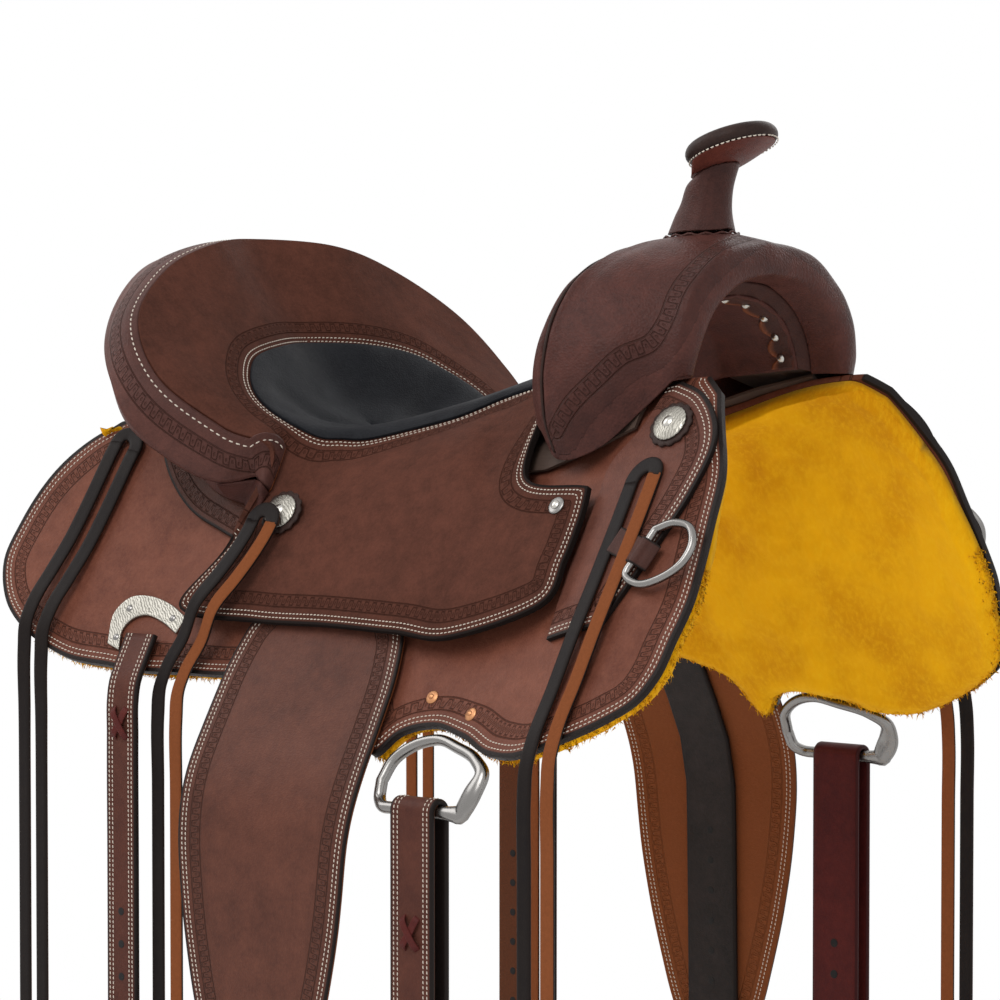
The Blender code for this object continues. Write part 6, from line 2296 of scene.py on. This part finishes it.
@dataclass
class Rigging:
    """The rings with their straps, the rear plates and billets, and the rivets."""

    ring: Sequence = (
        (0.099, 0.368), (0.103, 0.352), (0.117, 0.3413), (0.138, 0.3392), (0.160, 0.3503), (0.184, 0.3695),
        (0.1955, 0.386), (0.193, 0.398),
    )
    bar: Sequence[float] = (0.184, 0.165, 0.145, 0.125, 0.112)
    bar_x: float = 0.145
    bar_s: float = 0.396
    off: float = -0.002
    wire: float = 0.0045
    fold_gap: float = 0.0008
    strap_length: float = 0.330
    billet_thick: float = 0.0045
    billet_width: float = 0.040
    latigo_thick: float = 0.0040
    latigo_width: float = 0.044
    rear_x: float = -0.180
    rear_top: float = 0.273
    rear_width: float = 0.032
    rear_end: float = -0.560
    rear_lace: float = -0.186
    plate_outer: Sequence = (
        (-0.212, 0.292), (-0.2165, 0.268), (-0.206, 0.250), (-0.188, 0.242), (-0.166, 0.242), (-0.146, 0.249),
    )
    plate_inner: Sequence = (
        (-0.199, 0.292), (-0.2025, 0.276), (-0.197, 0.265), (-0.186, 0.2575), (-0.168, 0.2575), (-0.150, 0.2635),
    )
    rivets: Sequence = ((0.124, 0.307), (0.168, 0.330))
    lace_places: Sequence = (
        (-0.0065, -0.012, -0.0010), (-0.0062, -0.010, 0.0012), (0.0005, 0.0, 0.0019), (0.0062, 0.010, 0.0012),
        (0.0065, 0.012, -0.0010),
    )
    rivet_head: Crown = Crown(0.0052, 0.0019, 0.0008)
    rivet_shank: Crown = Crown(0.0022, 0.0014)
    shank_up: float = 0.0015
    plate_rivet: Crown = Crown(0.0028, 0.0015)
    front_sewn: Sequence[float] = (0.0042, 0.0078)
    rear_sewn: Sequence[float] = (0.0040, 0.0074)
    lace_width: float = 0.0058
    lace_thick: float = 0.0014
    hole_pitch: float = 0.025
    first_front: float = -0.150
    first_rear: float = -0.330
    front_lace: float = -0.086
    front_hole: float = 0.0034
    rear_hole: float = 0.0030
    plate_rivets: Sequence = ((-0.2055, 0.284), (-0.2030, 0.2585), (-0.158, 0.2525))

    def build(self) -> None:
        """Make all the rigging of both sides."""
        for word, hand in HANDS:
            self.rigging_ring(word, hand)
            self.rear_plate(word, hand)
            self.rear_billet(word, hand)
            for number, (x, s) in enumerate(self.rivets):
                at, out = on_side(x, s, LAYERS.skirt - 0.0002, hand)
                place_on(dome(f"rigging_rivet_{word}_{number}", at, out, self.rivet_head, COPPER), "saddle")
                above = at + out * self.shank_up
                place_on(dome(f"rivet_shank_{word}_{number}", above, out, self.rivet_shank, COPPER), "saddle")
        self.front_strap("right", -1, "off_billet", self.billet_width, self.billet_thick)
        self.front_strap("left", 1, "latigo", self.latigo_width, self.latigo_thick)

    def rigging_ring(self, word: str, hand: int) -> None:
        """Make one ring: thin at the top, broad at the lower front.

        Args:
            word: left or right.
            hand: 1 or -1.
        """
        middle = SIDE.point(self.bar_x, self.bar_s, self.off)
        low = np.array([middle + (x - self.bar_x, 0, 0) for x in self.bar])
        upper = SIDE.point(*np.array(self.ring).T, self.off)
        upper = flowing(np.vstack([upper, low[:1]]), np.linspace(0, 1, 60)[:-1])
        turn = (low[-1] + upper[0]) / 2 + (-0.0035, 0, -0.004)
        line = np.vstack([upper, flowing(low, np.linspace(0, 1, 20)), [turn]])
        line = flowing(np.vstack([line, line[:1]]), np.linspace(0, 1, 160)[:-1])
        share = np.linspace(0, 1, len(line))
        radius = self.wire * (0.90 + 0.10 * np.clip(np.abs(share - 0.25) / 0.2, 0, 1))
        wide = radius * (1 + 0.95 * np.exp(-((share - 0.57) / 0.075) ** 2))
        item = tube(f"rigging_ring_{word}_steel", to_hand(line, hand), wide, SHADED_STEEL, closed=True, sides=20, flat=radius)
        place_on(item, "saddle", f"rigging_ring_{word}")

    def front_strap(self, word: str, hand: int, node: str, width: float, thick: float) -> None:
        """Make the strap folded over one ring's lower bar, holed, and sewn if it is the off billet.

        Args:
            word: left or right; not used.
            hand: 1 or -1.
            node: the strap's node.
            width: its width.
            thick: its thickness.
        """
        fold = self.wire + self.fold_gap + thick / 2
        up = np.linspace(-self.strap_length, -0.012, 40)
        path = [(-fold, z) for z in up]
        path += [(-fold * math.cos(a), fold * math.sin(a)) for a in np.linspace(0, math.pi, 15)]
        path += [(fold, z) for z in up[::-1]]
        bar = to_hand(SIDE.point(self.bar_x, self.bar_s, self.off), hand)
        line = np.array([(0, y, z) for y, z in path]) + bar
        finish = OXBLOOD if node == "latigo" else PLAIN_WARM
        rings, values = band(line, (1.0, 0, 0), width, thick)
        if node == "off_billet":
            behind = (rings[..., 1].ravel() - bar[1]) * hand < 0.002
            values["edge"], values["back"] = np.where(behind, 0.0, values["edge"]), values["back"] * ~behind
        body = f"{node}_body"
        item = loft(f"{node}_leather", rings, finish, values=values)
        place_on(item, body, node)
        if node == "off_billet":
            sewn(Stitching(f"{node}_thread", body), line, (1.0, 0, 0), width, thick, self.front_sewn).finish()
        for number, z in enumerate(np.arange(self.first_front, -self.strap_length + 0.02, -self.hole_pitch)):
            for side_sign in (-1, 1):
                at = bar + (0, side_sign * (fold + thick / 2), z)
                punch(f"{node}_hole_{number}_{side_sign + 1}", at, (0, side_sign, 0), self.front_hole, body)
        self.lace(f"{node}_lace", body, bar + (0, hand * (fold + thick / 2), self.front_lace), hand)

    def lace(self, name: str, body: str, at: Array, hand: int) -> None:
        """Make a lace drawn through two slits of a strap and crossed once.

        Args:
            name: the piece's name.
            body: what it rides on.
            at: its middle, on the strap's face.
            hand: 1 or -1.
        """
        for number, mirror in enumerate((1, -1)):
            lift = 0.0 if number == 0 else 0.0010
            places = [(x * mirror, hand * (y + lift * (1 - abs(z) / 0.012)), z) for x, z, y in self.lace_places]
            line = flowing(np.array(places), np.linspace(0, 1, 16)) + at
            item = strap(f"{name}_{number}", line, (0.86, 0, -0.5 * mirror), self.lace_width, self.lace_thick,
                         RED_THONG, hand)
            place_on(item, body)

    def rear_plate(self, word: str, hand: int) -> None:
        """Make one engraved plate with its three rivets.

        Args:
            word: left or right.
            hand: 1 or -1.
        """
        plate = Panel(self.plate_inner, self.plate_outer, 60, 12)
        mine = plate.grid(LAYERS.skirt + LAYERS.gap).on(hand)
        item = mine.shell(f"rear_plate_{word}_silver", 0.0025, 0.0, SILVER, 0.0007)
        place_on(item, "saddle", f"rear_plate_{word}")
        for number, (x, s) in enumerate(self.plate_rivets):
            at, out = on_side(x, s, LAYERS.skirt + LAYERS.gap + 0.0022, hand)
            place_on(dome(f"plate_rivet_{word}_{number}", at, out, self.plate_rivet, SHADED_STEEL), "saddle")

    def rear_billet(self, word: str, hand: int) -> None:
        """Make one rear billet with its stitching, holes and lace.

        Args:
            word: left or right.
            hand: 1 or -1.
        """
        off = LAYERS.skirt + 0.0022 + self.billet_thick / 2
        lying = [SIDE.point(self.rear_x, s, off) for s in np.linspace(self.rear_top, 0.302, 5)]
        edge = lying[-1]
        bend = [edge + (0, 0.0045, -0.010), edge + (0, 0.0065, -0.021)]
        down = [(edge[0], edge[1] + 0.007, z) for z in np.linspace(edge[2] - 0.05, self.rear_end, 5)]
        line = to_hand(flowing(np.vstack([lying, bend, down]), np.linspace(0, 1, 80)), hand)
        body = f"rear_billet_{word}_body"
        item = strap(f"rear_billet_{word}_leather", line, (1.0, 0, 0), self.rear_width, self.billet_thick, PLAIN_WARM,
                     hand)
        place_on(item, body, f"rear_billet_{word}")
        thread = Stitching(f"rear_billet_{word}_thread", body)
        sewn(thread, line, (1.0, 0, 0), self.rear_width, self.billet_thick, self.rear_sewn, hand).finish()
        face = to_hand(np.array(down[0]), hand)
        for number, z in enumerate(np.arange(self.first_rear, self.rear_end + 0.02, -self.hole_pitch)):
            for sign in (1, -1):
                at = np.array((face[0], face[1] + sign * self.billet_thick / 2, z))
                punch(f"rear_billet_{word}_hole_{number}_{sign + 1}", at, (0, sign, 0), self.rear_hole, body)
        at = np.array((face[0], face[1] + hand * self.billet_thick / 2, self.rear_lace))
        self.lace(f"rear_billet_{word}_lace", body, at, hand)


@dataclass
class Dees:
    """The breast collar dees and the chapes that hold them."""

    wire: float = 0.0030
    path: Sequence = (
        (0.2945, 0.241), (0.2885, 0.257), (0.2825, 0.273), (0.296, 0.284), (0.313, 0.284), (0.326, 0.274),
        (0.329, 0.260), (0.322, 0.247), (0.308, 0.240),
    )
    chape_width: float = 0.021
    chape_thick: float = 0.0018

    def build(self) -> None:
        """Make both dees and their chapes."""
        top = LAYERS.front + LAYERS.jockey
        off = top + self.wire + 0.0004
        line = SIDE.point(*np.array(self.path).T, off)
        line = flowing(np.vstack([line, line[:1]]), np.linspace(0, 1, 90)[:-1])
        top_end, centre, low_end = self.path[:3]
        bar = unit(SIDE.point(*low_end, off) - SIDE.point(*top_end, off))
        middle, out = SIDE.point(*centre, off), SIDE.out(*centre, off)
        ahead = unit(np.cross(out, bar))
        ahead = ahead * np.sign(ahead[0])
        wrap, rest = self.wire + 0.0010, -(off - top) + 0.0011
        places = [(-0.030, rest), (-0.020, rest), (-0.012, rest + 0.0004), (-0.0072, rest + 0.0018)]
        places += [(-wrap * math.cos(a), wrap * math.sin(a)) for a in np.radians((25, 55, 90, 125, 155))]
        places += [(0.0070, rest + 0.0018), (0.0105, rest - 0.0010)]
        chape = flowing(np.array([middle + ahead * a + out * h for a, h in places]), np.linspace(0, 1, 40))
        for word, hand in HANDS:
            item = tube(f"breast_dee_{word}", to_hand(line, hand), self.wire, SHADED_STEEL, closed=True, sides=18)
            place_on(item, f"dee_{word}_body", f"dee_ring_{word}")
            place_on(strap(f"dee_chape_{word}", to_hand(chape, hand), to_hand(bar, hand), self.chape_width,
                           self.chape_thick, CHAPE_LEATHER), "saddle")


class Station(Enum):
    """Where a pair of saddle strings leaves the leather, with x, s, off, low s, low off and drift."""

    REAR = (-0.264, 0.146, LAYERS.skirt + 0.0046, 0.292, LAYERS.skirt + 0.0084, -0.018)
    MIDDLE = (-0.080, 0.170, 0.0356, 0.292, LAYERS.skirt + 0.004, -0.055)
    FRONT = (0.266, 0.190, LAYERS.front + LAYERS.jockey + 0.0022, 0.388, LAYERS.skirt + 0.0032, -0.010)


@dataclass
class Strings:
    """The saddle strings: pairs of flat thongs that lie on the leather and then hang."""

    width: float = 0.0120
    thick: float = 0.0030
    apart: float = 0.0096
    drop: float = -0.480

    def line(self, station: Station, x_shift: float) -> Array:
        """The middle line of one left thong, from where it leaves the knot down to its end.

        Args:
            station: its station.
            x_shift: its place beside the station's middle.

        Returns:
            The line's points.
        """
        x, s, off, low_s, low_off, drift = station.value
        x += x_shift
        steps = np.array([0, 0.06, 0.2, 0.4, 0.6, 0.8, 1.0])
        offs = off + (low_off - off) * ease((steps - 0.55) / 0.45)
        lying = SIDE.point(x + drift * steps ** 1.5, s + (low_s - s) * steps, offs)
        end = lying[-1]
        bend = end + unit(lying[-1] - lying[-2]) * 0.012 + (0, 0, -0.006)
        hang = bend + (0, 0.002, -0.020)
        rest = [(hang[0], hang[1], z) for z in np.linspace(hang[2] - 0.05, self.drop, 5)]
        return flowing(np.vstack([lying, [bend, hang], rest]), np.linspace(0, 1, 110))

    def build(self) -> None:
        """Make every pair with its knot."""
        for station in Station:
            where = station.name.lower()
            for word, hand in HANDS:
                knot = self.knot(station, where, word, hand)
                place_on(knot, "saddle", f"strings_{where}_{word}")
                for number, shift in enumerate((-self.apart, self.apart)):
                    self.thong(station, f"string_{where}_{word}_{number}", hand, shift, knot if number == 0 else None)

    def thong(self, station: Station, name: str, hand: int, shift: float, knot: bpy.types.Object | None) -> None:
        """Args:
            station: its station.
            name: its name.
            hand: 1 or -1.
            shift: its place beside the station's middle.
            knot: the knot that it carries, if any.
        """
        line = self.line(station, shift)
        normal = np.array([SIDE.out(float(x), station.value[1]) for x in line[:, 0]])
        falling = ease((np.arange(len(line)) / len(line) - 0.30) / 0.2)[:, None]
        out = unit(normal * (1 - falling) + np.array((0, 1.0, 0.05)) * falling)
        across = unit(np.cross(np.gradient(line, axis=0), out))
        line, across = to_hand(line, hand), to_hand(across, hand)
        width = np.full(len(line), self.width)
        width[-7:] = self.width * np.linspace(1.0, 0.35, 7)
        outward = 1.0 if knot or station is Station.REAR else -1.0
        item = strap(name, line, across, width, self.thick, THONG_LEATHER, outward * hand)
        place_on(item, "saddle")

    def knot(self, station: Station, where: str, word: str, hand: int) -> bpy.types.Object:
        """Make the bridle knot that joins a pair at its top.

        Args:
            station: its station.
            where: the station's word.
            word: left or right.
            hand: 1 or -1.

        Returns:
            The knot.
        """
        x, s, off = station.value[:3]
        turns = np.radians(np.linspace(-8, 188, 40))
        line = SIDE.point(x - self.apart * np.cos(turns), s - self.apart * np.sin(turns), off)
        out = np.array([SIDE.out(float(p[0]), s) for p in line])
        across = unit(np.cross(np.gradient(line, axis=0), out))
        return strap(f"string_knot_{where}_{word}", to_hand(line, hand), to_hand(across, hand), self.width, self.thick,
                     THONG_LEATHER, hand)


@dataclass
class Conchos:
    """The engraved silver conchos on scalloped leather rosettes."""

    places: Sequence = (("rear", -0.072, 0.158, 0.0269),
                        ("front", 0.273, 0.150, LAYERS.front + LAYERS.jockey))
    lift: float = 0.0006
    rosette: Crown = Crown(0.0185, 0.0022, 0.0016, 14, 0.0016)
    concho: Crown = Crown(0.0140, 0.0034, 0.0010, 22, 0.0005)
    boss: Crown = Crown(0.0045, 0.0018)
    boss_up: float = 0.0028

    def build(self) -> None:
        """Make all four."""
        for where, x, s, off in self.places:
            for word, hand in HANDS:
                at, out = on_side(x, s, off + self.lift, hand)
                item = dome(f"rosette_{where}_{word}_leather", at, out, self.rosette, CAP_LEATHER)
                place_on(item, "saddle", f"rosette_{where}_{word}")
                over = at + out * (self.rosette.height + 0.0002)
                item = dome(f"concho_{where}_{word}_silver", over, out, self.concho, SILVER)
                place_on(item, "saddle", f"concho_{where}_{word}")
                centre = over + out * self.boss_up
                place_on(dome(f"concho_boss_{where}_{word}", centre, out, self.boss, TACK_METAL), "saddle")


@dataclass
class Tree:
    """The wooden tree under the leather, kept from the solids."""

    nodes: Sequence[str] = ("tree_bar_left", "tree_bar_right", "ground_seat", "cantle_board", "fork_core", "horn_core")

    def build(self) -> None:
        """Give its solids their wood."""
        for name in self.nodes:
            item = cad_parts[name]
            item.data.materials.clear()
            item.data.materials.append(TREE_WOOD.material())
            LOG.info("%s dressed", name)


# Studio

@dataclass
class Studio:
    """A white floor and sky, soft lamps and the camera."""

    floor_level: float = -0.760
    floor_reach: float = 1.9
    floor_glow: float = 0.22
    sky_level: float = 0.46
    lamps: Sequence = (("key", (0.5, -2.7, 2.6), 2.2, 60), ("fill", (3.0, -0.4, 0.9), 2.4, 8),
                       ("back", (-2.2, -1.2, 1.8), 2.0, 26), ("far_side", (-0.4, 2.8, 1.6), 2.2, 16))
    distance: float = 3.2
    azimuth: float = 41.0
    elevation: float = 2.5
    lens: float = 149.76
    target: Sequence[float] = (0.010, -0.009, -0.018)

    def build(self) -> None:
        """Make it all."""
        self.sky()
        self.floor()
        for name, place, size, power in self.lamps:
            self.lamp(name, place, size, power)
        self.camera()

    def sky(self) -> None:
        """Make the world white to the camera and soft to the object."""
        world = bpy.data.worlds.new("sky")
        bpy.context.scene.world = world
        shader = Shader(world)
        camera, glossy, through_glass = (shader.node("ShaderNodeLightPath", out=kind) for kind in (
            "Is Camera Ray", "Is Glossy Ray", "Is Transmission Ray"))
        seen = camera.apply("MAXIMUM", glossy).apply("MAXIMUM", through_glass)
        soft, white = (shader.node("ShaderNodeBackground", {}, {"Color": (1, 1, 1), "Strength": level})
                       for level in (self.sky_level, 1.0))
        mixed = shader.node("ShaderNodeMixShader", {}, {0: seen, 1: soft, 2: white})
        shader.feed(shader.tree.nodes["World Output"].inputs["Surface"], mixed)

    def floor(self) -> None:
        """Make the floor, which keeps the object's shadow."""
        mesh = bpy.data.meshes.new("floor")
        turns = np.linspace(0, 2 * math.pi, 96, endpoint=False)
        mesh.from_pydata([(self.floor_reach * math.cos(a), self.floor_reach * math.sin(a), 0) for a in turns], [],
                         [tuple(range(len(turns)))])
        shader = Shader(bpy.data.materials.new("studio_floor"))
        shader.set(Base_Color=(0.96, 0.96, 0.96), Roughness=1.0, Specular_IOR_Level=0.0)
        shader.set(Emission_Color=(1.0, 1.0, 1.0), Emission_Strength=self.floor_glow)
        mesh.materials.append(shader.owner)
        item = bpy.data.objects.new("floor", mesh)
        bpy.context.scene.collection.objects.link(item)
        item.location.z = self.floor_level

    @staticmethod
    def lamp(name: str, place: Sequence[float], size: float, power: float) -> None:
        """Make a soft lamp aimed at the object.

        Args:
            name: its name.
            place: where it stands.
            size: its width, in metres.
            power: its power, in watts.
        """
        data = bpy.data.lights.new(name, "AREA")
        data.shape, data.size, data.energy = "DISK", size, power
        item = bpy.data.objects.new(name, data)
        item.location = place
        item.rotation_euler = Vector(place).to_track_quat("Z", "Y").to_euler()
        bpy.context.scene.collection.objects.link(item)

    def camera(self) -> None:
        """Make the camera."""
        data = bpy.data.cameras.new("camera")
        data.lens, data.sensor_width, data.clip_end = self.lens, 36.0, 100.0
        az, el = math.radians(self.azimuth), math.radians(self.elevation)
        back = Vector((math.sin(az) * math.cos(el), -math.cos(az) * math.cos(el), math.sin(el)))
        item = bpy.data.objects.new("camera", data)
        item.location = Vector(self.target) + back * self.distance
        item.rotation_euler = back.to_track_quat("Z", "Y").to_euler()
        bpy.context.scene.collection.objects.link(item)
        bpy.context.scene.camera = item


def main() -> None:
    """Build the dressed saddle."""
    logging.basicConfig(level=logging.INFO, format="%(message)s")
    bpy.context.scene.view_settings.view_transform = "Standard"
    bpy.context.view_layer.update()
    seat, swell = Seat(), Swell()
    parts = [Skirts(), seat, Cantle(seat), Jockeys(), swell, Horn(swell), Fenders(), Rigging(), Dees(), Strings(),
             Conchos(), Tree(), Studio()]
    parts += [StirrupSet(word, hand) for word, hand in HANDS]
    for part in parts:
        part.build()


if __name__ == "__main__":
    main()
